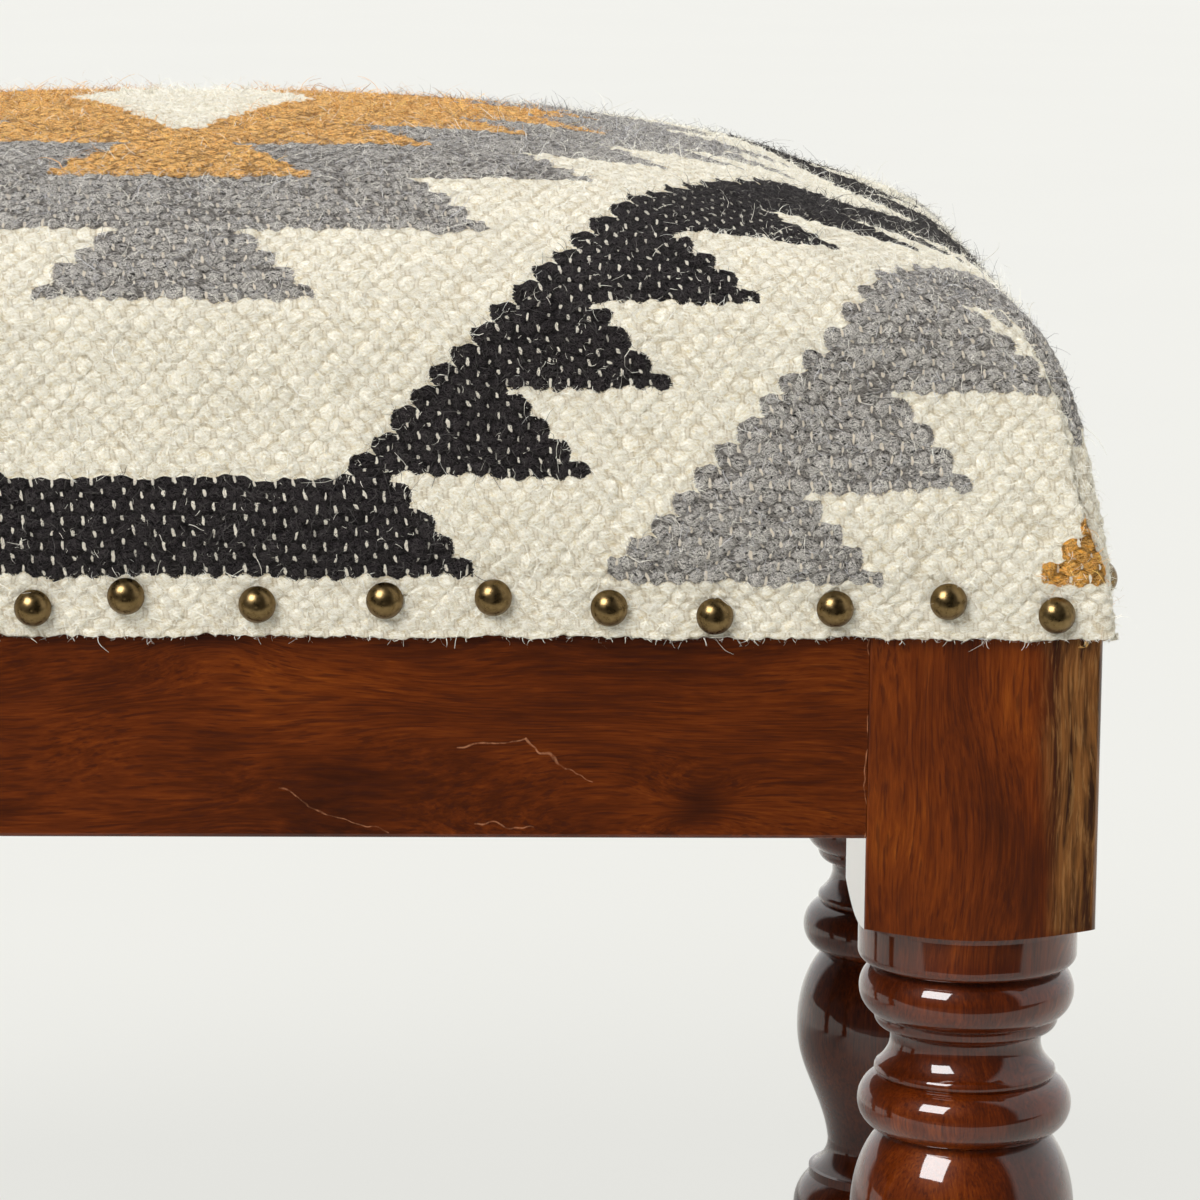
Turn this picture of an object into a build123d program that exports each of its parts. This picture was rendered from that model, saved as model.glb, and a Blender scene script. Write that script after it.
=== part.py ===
"""Kilim footstool: a joined frame on four turned legs under a domed seat with a nailed-on woven cover."""

import os

from build123d import *

# Driving sizes, in millimetres. X runs along the stool, Y from front to back, Z up from the floor.
frame_length = 600
frame_depth = 326
frame_top = 319.5

# Legs: a square block above, turned below.
leg_block = 76
leg_block_height = 120
shoulder_rise = 4
block_edge_radius = 2.5
block_arris_radius = 0.8

# Rails and their joints.
rail_height = 90
rail_thickness = 22
rail_arris_radius = 1.5
tenon_length = 28
tenon_thickness = 10
tenon_height = 50
tenon_face_shoulder = 6
tenon_lower_shoulder = 12
joint_clearance = 0.2
mortise_end_room = 1

# Cross rail under the middle of the deck.
cross_rail_height = 45
cross_rail_thickness = 30
stub_tenon_length = 8
stub_tenon_thickness = 14
stub_tenon_height = 30

# Glue blocks in the angles between rails and leg blocks.
glue_block_side = 26
glue_block_height = 60
glue_block_drop = 14

# Seat, from the deck up.
deck_thickness = 12
deck_setback = 2.5
deck_corner_radius = 5
foam_height = 117
wadding_thickness = 4
cover_thickness = 4
cover_lap = 24
soft_gap = 0.3

# Upholstery nails.
nail_head_radius = 6
nail_head_height = 4.8
nail_head_rim = 0.6
nail_shank_radius = 0.9
nail_shank_length = 15
nail_line = 11.5
nail_end_inset = 16
nail_short_end_inset = 37
nail_spacing = 36
nail_tip_length = 3
nail_clearance = 0.05

# Screws that hold the deck down.
screw_head_radius = 4
screw_head_depth = 3
screw_shank_radius = 2
screw_length = 32
screw_tip_length = 4
screw_clearance = 0.05

# Dust cover and its staples.
dust_cover_thickness = 0.6
dust_cover_setback = 5
dust_cover_leg_gap = 2
staple_width = 10
staple_wire_width = 1.2
staple_wire_thickness = 0.7
staple_leg_length = 6
staple_spacing = 48
staple_end_inset = 16
staple_clearance = 0.05

# Foot glides.
glide_radius = 11
glide_thickness = 3
glide_pin_radius = 1.6
glide_pin_length = 14
glide_pin_clearance = 0.05
glide_edge_radius = 0.8

# One overrun for every cut that passes through a face.
overrun = 2

# The turned outline, from the shoulder down to the toe. Each row goes on from the row before and
# holds (radius as a share of half the block, drop as a share of the turned height).
# Rows of one point are straight, of two an arc through the first, of more a smooth curve.
turning_shares = (
    ((0.963, 0.010),),
    ((0.963, 0.060),),
    ((0.938, 0.074), (0.862, 0.081)),
    ((0.826, 0.084),),
    ((0.947, 0.128), (0.808, 0.174)),
    ((0.797, 0.187), (0.700, 0.198)),
    ((0.664, 0.216), (0.690, 0.240), (0.787, 0.264)),
    ((0.800, 0.274), (0.782, 0.281)),
    ((0.942, 0.324), (0.742, 0.382)),
    ((0.874, 0.421), (0.976, 0.489), (0.958, 0.588), (0.797, 0.673), (0.661, 0.766)),
    ((0.692, 0.796), (0.811, 0.821)),
    ((0.847, 0.823),),
    ((0.847, 0.840),),
    ((0.995, 0.904), (0.855, 0.964)),
    ((0.737, 0.968),),
    ((0.711, 1.000),),
)
turning_top_share = 0.972

# How much further a square's corner reaches than the middle of its side.
corner_reach_share = 2 ** 0.5 - 1

# The seat's level lines, from the frame's top to the crown: height as a share of the whole rise, then
# half length, half depth and corner radius, the first of half the length, the others of half the depth.
seat_shares = (
    (0.000, 1.000, 1.000, 0.048),
    (0.090, 0.994, 1.000, 0.054),
    (0.200, 0.982, 1.000, 0.066),
    (0.320, 0.967, 0.999, 0.074),
    (0.430, 0.949, 0.995, 0.088),
    (0.540, 0.917, 0.985, 0.120),
    (0.640, 0.866, 0.958, 0.180),
    (0.720, 0.793, 0.910, 0.250),
    (0.800, 0.697, 0.832, 0.340),
    (0.875, 0.592, 0.727, 0.400),
    (0.930, 0.465, 0.580, 0.400),
    (0.970, 0.322, 0.410, 0.330),
    (0.991, 0.170, 0.225, 0.190),
    (0.999, 0.050, 0.070, 0.060),
)

# How far each nail strays from its even place: along the row and up, as shares of the nail spacing.
nail_stray_shares = (
    (0.00, -0.07), (0.01, 0.05), (-0.02, -0.02), (-0.11, -0.09), (-0.07, -0.02), (-0.12, 0.07),
    (-0.10, 0.04), (-0.25, 0.00), (-0.43, 0.07), (-0.27, -0.04), (-0.23, 0.03), (-0.19, -0.05),
    (-0.16, 0.04), (-0.12, 0.06), (-0.08, -0.06), (-0.04, 0.01), (0.00, -0.03),
)

# Which of the spaces between two nails hold a deck screw, as shares of the row of spaces,
# and where the screws into the cross rail stand, as shares of the half depth.
long_rail_screw_shares = (0.16, 0.34, 0.66, 0.84)
short_rail_screw_shares = (0.30, 0.70)
cross_rail_screw_shares = (-0.37, 0.37)

# Places worked out from the sizes above.
half_length = frame_length / 2
half_depth = frame_depth / 2
half_block = leg_block / 2
block_bottom = frame_top - leg_block_height
shoulder_height = block_bottom - shoulder_rise
turned_height = shoulder_height - glide_thickness
rail_bottom = frame_top - rail_height
tenon_middle_height = rail_bottom + tenon_lower_shoulder + tenon_height / 2
tenon_middle_inset = tenon_face_shoulder + tenon_thickness / 2
mortise_depth = tenon_length + mortise_end_room
long_span = frame_length - 2 * leg_block
short_span = frame_depth - 2 * leg_block
deck_top = frame_top + deck_thickness
deck_length = frame_length - 2 * deck_setback
deck_depth = frame_depth - 2 * deck_setback
cover_hem = frame_top - cover_lap
seat_rise = deck_thickness + foam_height + wadding_thickness + cover_thickness + 2 * soft_gap
nail_height = cover_hem + nail_line
nail_cut_depth = nail_shank_length - cover_thickness + nail_clearance
staple_inset = (dust_cover_setback + rail_thickness) / 2
staple_leg_place = (staple_width - staple_wire_thickness) / 2

# Each side of the stool as a plane that faces outward, with its own half length.
sides = {
    "front": (Plane((0, -half_depth, 0), x_dir=(1, 0, 0), z_dir=(0, -1, 0)), half_length),
    "right": (Plane((half_length, 0, 0), x_dir=(0, 1, 0), z_dir=(1, 0, 0)), half_depth),
    "back": (Plane((0, half_depth, 0), x_dir=(-1, 0, 0), z_dir=(0, 1, 0)), half_length),
    "left": (Plane((-half_length, 0, 0), x_dir=(0, -1, 0), z_dir=(-1, 0, 0)), half_depth),
}
long_sides = ("front", "back")
corners = {
    "front_left": (-1, -1),
    "front_right": (1, -1),
    "back_left": (-1, 1),
    "back_right": (1, 1),
}

os.makedirs("parts", exist_ok=True)


def save(piece, name):
    """Label a finished piece and write it under its name."""
    piece.part.label = name
    export_step(piece.part, f"parts/{name}.step")


def on_side(side, along, up, out=0):
    """A place on one side of the frame: along it, up from the floor and out from its face."""
    return sides[side][0].location * Location((along, up, out))


def even_places(half_span, end_inset, spacing):
    """Evenly spaced places along a side, from end to end, as near the spacing as they can be."""
    reach = half_span - end_inset
    count = max(round(2 * reach / spacing), 1)
    return [reach * (2 * i / count - 1) for i in range(count + 1)]


def nail_row(side):
    """Even places for a side's nails. A short side's start behind the corner fold."""
    end_inset = nail_end_inset if side in long_sides else nail_short_end_inset
    return even_places(sides[side][1], end_inset, nail_spacing)


def nail_places(side):
    """Where the nails of one side go in, on the wood's outer face, each a little astray."""
    row = nail_row(side)
    first = list(sides).index(side)
    places = []
    for i, along in enumerate(reversed(row)):
        stray_along, stray_up = nail_stray_shares[(i + first) % len(nail_stray_shares)]
        if along in (row[0], row[-1]):
            stray_along = 0
        rise = nail_height + stray_up * nail_spacing
        places.append(on_side(side, along + stray_along * nail_spacing, rise))
    return places


def mortise_places(side):
    """Middles of the two mortises that a side's rail goes into, cut over by the overrun."""
    reach = sides[side][1] - leg_block + (mortise_depth - overrun) / 2
    return [on_side(side, end * reach, tenon_middle_height, -tenon_middle_inset) for end in (-1, 1)]


def screw_places():
    """Where the deck screws stand: over the rails, midway between nails, and over the cross rail."""
    places = [Location((0, share * half_depth, deck_top)) for share in cross_rail_screw_shares]
    for side in sides:
        row = nail_row(side)
        middles = [(a + b) / 2 for a, b in zip(row, row[1:])]
        shares = long_rail_screw_shares if side in long_sides else short_rail_screw_shares
        for share in shares:
            along = middles[int(share * len(middles))]
            spot = on_side(side, along, deck_top, -rail_thickness / 2).position
            places.append(Location((spot.X, spot.Y, spot.Z)))
    return places


def staple_places(side):
    """Where the staples of one side go up into its rail, in the side's own directions."""
    half_span = sides[side][1] - leg_block
    row = even_places(half_span, staple_end_inset, staple_spacing)
    return [on_side(side, along, rail_bottom, -staple_inset) for along in row]


def cut_staple_holes(side):
    """Cut the two holes of each staple into the piece being made."""
    for place in staple_places(side):
        with Locations(place):
            with Locations((-staple_leg_place, 0, 0), (staple_leg_place, 0, 0)):
                Box(
                    staple_wire_thickness + 2 * staple_clearance,
                    2 * (staple_leg_length + staple_clearance),
                    staple_wire_width + 2 * staple_clearance,
                    mode=Mode.SUBTRACT,
                )


def cut_nail_holes(side, reach_x, reach_y):
    """Cut the holes of a side's nails into the piece being made, where x and y are in reach."""
    for place in nail_places(side):
        spot = place.position
        if reach_x[0] < spot.X < reach_x[1] and reach_y[0] < spot.Y < reach_y[1]:
            with Locations(place):
                Cylinder(nail_shank_radius + nail_clearance, 2 * nail_cut_depth, mode=Mode.SUBTRACT)


def cut_screw_holes():
    """Cut the pilot holes of the deck screws into the piece being made."""
    with Locations(*screw_places()):
        Cylinder(
            screw_shank_radius + screw_clearance,
            2 * (screw_length + screw_clearance),
            mode=Mode.SUBTRACT,
        )


def loft_seat(inset, bottom):
    """Loft the seat's level lines, all drawn in by one inset, and keep what is above the bottom."""
    half_x = half_length + cover_thickness - inset
    half_y = half_depth + cover_thickness - inset
    levels = []
    for height_share, length_share, depth_share, corner_share in seat_shares:
        with BuildSketch(Plane.XY.offset(frame_top + height_share * (seat_rise - inset))) as level:
            RectangleRounded(
                2 * length_share * half_x,
                2 * depth_share * half_y,
                corner_share * half_y,
            )
        levels.append(level.sketch)
    loft(levels, ruled=True)
    if bottom > frame_top:
        split(bisect_by=Plane.XY.offset(bottom), keep=Keep.TOP)


# Legs: the square block takes the rails' tenons, and the turned part runs down to the glide.
for corner, (x_side, y_side) in corners.items():
    centre_x = x_side * (half_length - half_block)
    centre_y = y_side * (half_depth - half_block)
    reach = half_block + nail_spacing / 2
    reach_x = (centre_x - reach, centre_x + reach)
    reach_y = (centre_y - reach, centre_y + reach)
    axis_plane = Plane((centre_x, centre_y, 0), x_dir=(1, 0, 0), z_dir=(0, -1, 0))
    leg_axis = Axis((centre_x, centre_y, 0), (0, 0, 1))
    outer_corner = Vector(x_side * half_length, y_side * half_depth, frame_top)
    with BuildPart() as leg:
        with BuildSketch(Plane.XY.offset(shoulder_height)):
            with Locations((centre_x, centre_y)):
                Rectangle(leg_block, leg_block)
        extrude(amount=leg_block_height + shoulder_rise)
        inner_edges = leg.edges().filter_by(Axis.Z).sort_by_distance(outer_corner)[1:]
        fillet(inner_edges, block_arris_radius)
        fillet(leg.edges().filter_by(Axis.Z).sort_by_distance(outer_corner)[0], block_edge_radius)
        # The lathe leaves a shoulder that climbs from the middle of each face to the corners.
        with BuildSketch(axis_plane):
            with BuildLine():
                Polyline(
                    (half_block, shoulder_height),
                    (leg_block, shoulder_height + shoulder_rise / corner_reach_share),
                    (leg_block, shoulder_height - overrun),
                    (half_block, shoulder_height - overrun),
                    close=True,
                )
            make_face()
        revolve(axis=leg_axis, mode=Mode.SUBTRACT)
        with BuildSketch(axis_plane):
            with BuildLine():
                foot = (0, shoulder_height - turned_height)
                last = (turning_top_share * half_block, shoulder_height)
                Polyline(foot, (0, shoulder_height), last)
                for row in turning_shares:
                    points = [(r * half_block, shoulder_height - d * turned_height) for r, d in row]
                    if len(points) == 1:
                        Line(last, points[0])
                    elif len(points) == 2:
                        ThreePointArc(last, *points)
                    else:
                        Spline(last, *points)
                    last = points[-1]
                Line(last, foot)
            make_face()
        revolve(axis=leg_axis)
        for side in sides:
            for place in mortise_places(side):
                spot = place.position
                if abs(spot.X - centre_x) < half_block and abs(spot.Y - centre_y) < half_block:
                    with Locations(place):
                        Box(
                            mortise_depth + overrun,
                            tenon_height + 2 * joint_clearance,
                            tenon_thickness + 2 * joint_clearance,
                            mode=Mode.SUBTRACT,
                        )
            cut_nail_holes(side, reach_x, reach_y)
        with Locations((centre_x, centre_y, glide_thickness)):
            Cylinder(
                glide_pin_radius + glide_pin_clearance,
                2 * (glide_pin_length + glide_pin_clearance),
                mode=Mode.SUBTRACT,
            )
    save(leg, f"leg_{corner}")

# Rails: four boards flush with the legs' outer faces, with a tenon at each end.
for side, (plane, half_span) in sides.items():
    span = 2 * (half_span - leg_block)
    with BuildPart() as rail:
        with Locations(on_side(side, 0, rail_bottom + rail_height / 2, -rail_thickness / 2)):
            Box(span, rail_height, rail_thickness)
        fillet(rail.edges().filter_by(Axis((0, 0, 0), plane.x_dir)).group_by(Axis.Z)[0], rail_arris_radius)
        with Locations(on_side(side, 0, tenon_middle_height, -tenon_middle_inset)):
            Box(span + 2 * tenon_length, tenon_height, tenon_thickness)
        if side in long_sides:
            with Locations(on_side(side, 0, frame_top - cross_rail_height / 2, -rail_thickness)):
                Box(
                    stub_tenon_thickness + 2 * joint_clearance,
                    stub_tenon_height + 2 * joint_clearance,
                    2 * (stub_tenon_length + joint_clearance),
                    mode=Mode.SUBTRACT,
                )
        cut_nail_holes(side, (-frame_length, frame_length), (-frame_depth, frame_depth))
        cut_screw_holes()
        cut_staple_holes(side)
    save(rail, f"rail_{side}")

# Cross rail under the middle of the deck, stub tenoned into the long rails.
cross_rail_span = frame_depth - 2 * rail_thickness
with BuildPart() as cross_rail:
    with Locations((0, 0, frame_top - cross_rail_height / 2)):
        Box(cross_rail_thickness, cross_rail_span, cross_rail_height)
        Box(stub_tenon_thickness, cross_rail_span + 2 * stub_tenon_length, stub_tenon_height)
    cut_screw_holes()
save(cross_rail, "cross_rail")

# Glue blocks: a three-sided block in each angle between a rail and a leg block.
with BuildPart() as glue_blocks:
    with BuildSketch(Plane.XY.offset(frame_top - glue_block_drop - glue_block_height)):
        for x_side, y_side in corners.values():
            for rail_inset, leg_inset in ((rail_thickness, leg_block), (leg_block, rail_thickness)):
                angle_x = x_side * (half_length - leg_inset)
                angle_y = y_side * (half_depth - rail_inset)
                with BuildLine():
                    Polyline(
                        (angle_x, angle_y),
                        (angle_x - x_side * glue_block_side, angle_y),
                        (angle_x, angle_y - y_side * glue_block_side),
                        close=True,
                    )
                make_face()
    extrude(amount=glue_block_height)
save(glue_blocks, "glue_blocks")

# Seat deck: a board over the whole frame, set back a little so that the cover turns softly.
with BuildPart() as seat_deck:
    with BuildSketch(Plane.XY.offset(frame_top)):
        RectangleRounded(deck_length, deck_depth, deck_corner_radius)
    extrude(amount=deck_thickness)
    cut_screw_holes()
    with Locations(*screw_places()):
        with Locations((0, 0, -screw_head_depth / 2)):
            Cone(
                screw_shank_radius + screw_clearance,
                screw_head_radius + screw_clearance,
                screw_head_depth,
                mode=Mode.SUBTRACT,
            )
save(seat_deck, "seat_deck")

# Deck screws: countersunk heads flush with the deck.
with BuildPart() as screw:
    with BuildSketch(Plane.XZ):
        with BuildLine():
            Polyline(
                (0, 0),
                (screw_head_radius, 0),
                (screw_shank_radius, -screw_head_depth),
                (screw_shank_radius, screw_tip_length - screw_length),
                (0, -screw_length),
                close=True,
            )
        make_face()
    revolve(axis=Axis.Z)
with BuildPart() as deck_screws:
    with Locations(*screw_places()):
        add(screw.part)
save(deck_screws, "deck_screws")

# Foam pad: domed, on the deck.
with BuildPart() as foam_pad:
    loft_seat(cover_thickness + wadding_thickness + 2 * soft_gap, deck_top)
save(foam_pad, "foam_pad")

# Wadding: a soft layer over the foam, down to the deck.
with BuildPart() as wadding_hollow:
    loft_seat(cover_thickness + wadding_thickness + soft_gap, deck_top)
with BuildPart() as wadding:
    loft_seat(cover_thickness + soft_gap, deck_top)
    add(wadding_hollow.part, mode=Mode.SUBTRACT)
save(wadding, "wadding")

# Kilim cover: over the wadding, down past the deck and onto the frame's outer faces.
with BuildPart() as cover_hollow:
    loft_seat(cover_thickness, deck_top)
    with BuildSketch(Plane.XY.offset(frame_top)):
        RectangleRounded(
            deck_length + 2 * soft_gap,
            deck_depth + 2 * soft_gap,
            deck_corner_radius + soft_gap,
        )
    extrude(amount=deck_thickness)
    with BuildSketch(Plane.XY.offset(cover_hem - overrun)):
        Rectangle(frame_length, frame_depth)
    extrude(amount=cover_lap + overrun)
with BuildPart() as kilim_cover:
    loft_seat(0, frame_top)
    with BuildSketch(Plane.XY.offset(cover_hem)):
        RectangleRounded(
            frame_length + 2 * cover_thickness,
            frame_depth + 2 * cover_thickness,
            seat_shares[0][3] * (half_depth + cover_thickness),
        )
    extrude(amount=cover_lap)
    add(cover_hollow.part, mode=Mode.SUBTRACT)
    for side in sides:
        cut_nail_holes(side, (-frame_length, frame_length), (-frame_depth, frame_depth))
save(kilim_cover, "kilim_cover")

# Upholstery nails: a domed head on a plain shank, in four rows.
with BuildPart() as nail:
    with BuildSketch(Plane.XZ):
        with BuildLine():
            Polyline(
                (0, cover_thickness + nail_head_height),
                (0, cover_thickness - nail_shank_length),
                (nail_shank_radius, cover_thickness - nail_shank_length + nail_tip_length),
                (nail_shank_radius, cover_thickness),
                (nail_head_radius, cover_thickness),
                (nail_head_radius, cover_thickness + nail_head_rim),
            )
            TangentArc(
                (0, cover_thickness + nail_head_height),
                (nail_head_radius, cover_thickness + nail_head_rim),
                tangent=(1, 0),
            )
        make_face()
    revolve(axis=Axis.Z)
for side in sides:
    with BuildPart() as nails:
        with Locations(*nail_places(side)):
            add(nail.part)
    save(nails, f"nails_{side}")

# Dust cover: a sheet under the rails, cut out round the legs.
with BuildPart() as dust_cover:
    with BuildSketch(Plane.XY.offset(rail_bottom)):
        Rectangle(frame_length - 2 * dust_cover_setback, frame_depth - 2 * dust_cover_setback)
        corner_cut = 2 * (leg_block + dust_cover_leg_gap)
        with GridLocations(frame_length, frame_depth, 2, 2):
            Rectangle(corner_cut, corner_cut, mode=Mode.SUBTRACT)
    extrude(amount=-dust_cover_thickness)
    for side in sides:
        cut_staple_holes(side)
save(dust_cover, "dust_cover")

# Staples: a crown under the dust cover with two legs up into the rail.
with BuildPart() as staple:
    with Locations((0, -dust_cover_thickness - staple_wire_thickness / 2, 0)):
        Box(staple_width, staple_wire_thickness, staple_wire_width)
    staple_rise = staple_leg_length + dust_cover_thickness
    for end in (-1, 1):
        with Locations((end * staple_leg_place, staple_rise / 2 - dust_cover_thickness, 0)):
            Box(staple_wire_thickness, staple_rise, staple_wire_width)
with BuildPart() as staples:
    for side in sides:
        with Locations(*staple_places(side)):
            add(staple.part)
save(staples, "dust_cover_staples")

# Glides: a disc under each foot with a pin up into the leg.
for corner, (x_side, y_side) in corners.items():
    centre_x = x_side * (half_length - half_block)
    centre_y = y_side * (half_depth - half_block)
    with BuildPart() as glide:
        with Locations((centre_x, centre_y, glide_thickness / 2)):
            Cylinder(glide_radius, glide_thickness)
        fillet(glide.edges().group_by(Axis.Z)[0], glide_edge_radius)
        with Locations((centre_x, centre_y, glide_pin_length / 2 + glide_thickness)):
            Cylinder(glide_pin_radius, glide_pin_length)
    save(glide, f"glide_{corner}")
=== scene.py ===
import math

import bpy
import numpy as np
from mathutils import Matrix, Vector


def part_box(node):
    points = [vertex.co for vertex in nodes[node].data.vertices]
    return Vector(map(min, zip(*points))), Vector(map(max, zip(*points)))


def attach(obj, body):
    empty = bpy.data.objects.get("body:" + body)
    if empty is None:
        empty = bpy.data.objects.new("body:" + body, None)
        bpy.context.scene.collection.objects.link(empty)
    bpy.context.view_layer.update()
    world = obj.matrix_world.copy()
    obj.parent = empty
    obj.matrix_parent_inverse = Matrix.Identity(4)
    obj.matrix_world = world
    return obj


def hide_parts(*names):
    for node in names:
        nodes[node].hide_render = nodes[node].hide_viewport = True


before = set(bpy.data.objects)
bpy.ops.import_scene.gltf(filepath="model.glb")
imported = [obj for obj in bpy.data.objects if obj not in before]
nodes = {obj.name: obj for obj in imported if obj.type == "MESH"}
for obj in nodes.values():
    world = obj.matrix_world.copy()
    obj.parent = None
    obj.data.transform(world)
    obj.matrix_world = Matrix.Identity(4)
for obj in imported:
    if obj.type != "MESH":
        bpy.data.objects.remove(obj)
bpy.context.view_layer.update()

MM = 0.001

# The cover's box gives the seat's size. All cloth work is in millimetres.
cover_low, cover_high = (np.array(corner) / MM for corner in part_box("kilim_cover"))
HEM = cover_low[2]
RISE = cover_high[2] - HEM
HALF_X = cover_high[0]
HALF_Y = cover_high[1]

# The seat's level lines from hem to crown: height as a share of the rise, how far the ends and the
# long sides have drawn in as shares of the half sizes, and the corner radius as a share of half the depth.
SEAT_SHARES = (
    (0.000, 0.000, 0.000, 0.048),
    (0.124, 0.005, 0.000, 0.054),
    (0.322, 0.027, 0.000, 0.066),
    (0.502, 0.053, 0.004, 0.084),
    (0.619, 0.087, 0.013, 0.120),
    (0.706, 0.139, 0.048, 0.192),
    (0.755, 0.197, 0.087, 0.251),
    (0.805, 0.270, 0.138, 0.311),
    (0.861, 0.342, 0.216, 0.371),
    (0.901, 0.421, 0.287, 0.407),
    (0.935, 0.520, 0.389, 0.419),
    (0.963, 0.625, 0.527, 0.371),
    (0.981, 0.763, 0.671, 0.263),
    (0.994, 0.862, 0.814, 0.156),
    (0.999, 0.954, 0.928, 0.048),
    (1.000, 1.000, 1.000, 0.000),
)
# Where the corner's folded edge runs: height share, then how far round the corner, in degrees.
CREASE_TURNS = (
    (0.000, 70), (0.062, 60), (0.124, 42), (0.167, 34), (0.223, 22), (0.285, 14), (0.353, 17),
    (0.433, 22), (0.514, 24), (0.619, 36), (0.681, 45), (0.724, 54), (0.755, 64.5), (1.000, 64.5),
)
# The weave's count: picks from the front hem to the middle, warps from the middle to an end's hem.
HALF_PICKS = 78
HALF_WARPS = 122
# The lattice point where the corner fold starts.
FOLD_WARP = 77
FOLD_PICK = 34
# Steps of the woven mesh to one warp and to one pick.
WARP_STEPS = 3
PICK_STEPS = 4
CLOTH_THICKNESS = 4.0


def smooth(x):
    """0 to 1 as x goes from 0 to 1, with level ends."""
    x = np.clip(x, 0, 1)
    return x * x * (3 - 2 * x)


def curve_through(xs, ys, at):
    """A smooth curve through the points that doesn't overshoot them, read at the given places."""
    xs, ys = np.array(xs, float), np.array(ys, float)
    step = np.diff(xs)
    slope = np.diff(ys) / step
    lean = np.zeros_like(xs)
    same = slope[1:] * slope[:-1] > 0
    w1, w2 = 2 * step[1:] + step[:-1], step[1:] + 2 * step[:-1]
    with np.errstate(divide="ignore", invalid="ignore"):
        mean = (w1 + w2) / (w1 / slope[:-1] + w2 / slope[1:])
    lean[1:-1] = np.where(same, mean, 0)
    lean[0], lean[-1] = slope[0], slope[-1]
    k = np.clip(np.searchsorted(xs, at) - 1, 0, len(step) - 1)
    h = step[k]
    t = (at - xs[k]) / h
    return (
        ys[k] * (1 + 2 * t) * (1 - t) ** 2
        + lean[k] * h * t * (1 - t) ** 2
        + ys[k + 1] * t * t * (3 - 2 * t)
        + lean[k + 1] * h * t * t * (t - 1)
    )


# The seat's form, read finely: T counts level lines, and the rest are millimetres.
LEVELS = np.array(SEAT_SHARES).T
T = np.linspace(0, len(SEAT_SHARES) - 1, 900)
ROWS = np.arange(len(SEAT_SHARES))
LEVEL_Z = HEM + RISE * curve_through(ROWS, LEVELS[0], T)
LEVEL_X = HALF_X * (1 - curve_through(ROWS, LEVELS[1], T))
LEVEL_Y = HALF_Y * (1 - curve_through(ROWS, LEVELS[2], T))
LEVEL_R = np.maximum(HALF_Y * curve_through(ROWS, LEVELS[3], T), 0.01)
LEVEL_R = np.minimum(LEVEL_R, np.minimum(LEVEL_X, LEVEL_Y) + 0.01)
FRONT_ARC = np.r_[0, np.cumsum(np.hypot(np.diff(LEVEL_Z), np.diff(LEVEL_Y)))]
END_ARC = np.r_[0, np.cumsum(np.hypot(np.diff(LEVEL_Z), np.diff(LEVEL_X)))]
END_ARC = END_ARC[-1] - END_ARC
PICK = FRONT_ARC[-1] / HALF_PICKS
WARP = END_ARC[0] / HALF_WARPS
FOLD_U = FOLD_WARP * WARP
FOLD_V = FOLD_PICK * PICK
crease_shares, crease_degrees = np.array(CREASE_TURNS, float).T
LEVEL_TURN = np.radians(np.interp((LEVEL_Z - HEM) / RISE, crease_shares, crease_degrees))


def level(t, *tables):
    """The values of some level line tables at t."""
    return [np.interp(t, T, table) for table in tables]


def level_of_front(v):
    """The level line at a distance up a long side's cloth."""
    return np.interp(v, FRONT_ARC, T)


def level_of_end(u):
    """The level line at a distance from the middle along an end's cloth."""
    return np.interp(u, END_ARC[::-1], T[::-1])


def height_at(x, y):
    """The seat's height over a point of its plan, by halving between level lines."""
    low, high = np.zeros_like(x), np.full_like(x, T[-1])
    for _ in range(22):
        middle = (low + high) / 2
        a, b, r = level(middle, LEVEL_X, LEVEL_Y, LEVEL_R)
        over_x, over_y = x - (a - r), y - (b - r)
        outside = np.hypot(np.maximum(over_x, 0), np.maximum(over_y, 0)) > r
        outside |= np.maximum(over_x, over_y) > r
        high = np.where(outside, middle, high)
        low = np.where(outside, low, middle)
    return np.interp((low + high) / 2, T, LEVEL_Z)


def dome_point(u, v):
    """Where the cloth lies on the dome: both its directions followed from the crown."""
    x = np.interp(u, END_ARC[::-1], LEVEL_X[::-1])
    y = np.interp(v, FRONT_ARC, LEVEL_Y)
    return np.stack([x, y, height_at(x, y)], -1)


# The long sides' cloth ends in a rolled edge that stands off the corner, and opens below the fold's start.
CREASE_LIFT = 1.6
ROLL_RADIUS = 1.7
LIFT_REACH = 14
FOLD_PICKS_TO_OPEN = 7
SIDE_BLEND_PICKS = 10


def crease_reach(v):
    """How far from the middle, in cloth, a long side's cloth reaches before it folds."""
    a, r, turn = level(level_of_front(v), LEVEL_X, LEVEL_R, LEVEL_TURN)
    return a - r + r * turn


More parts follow.
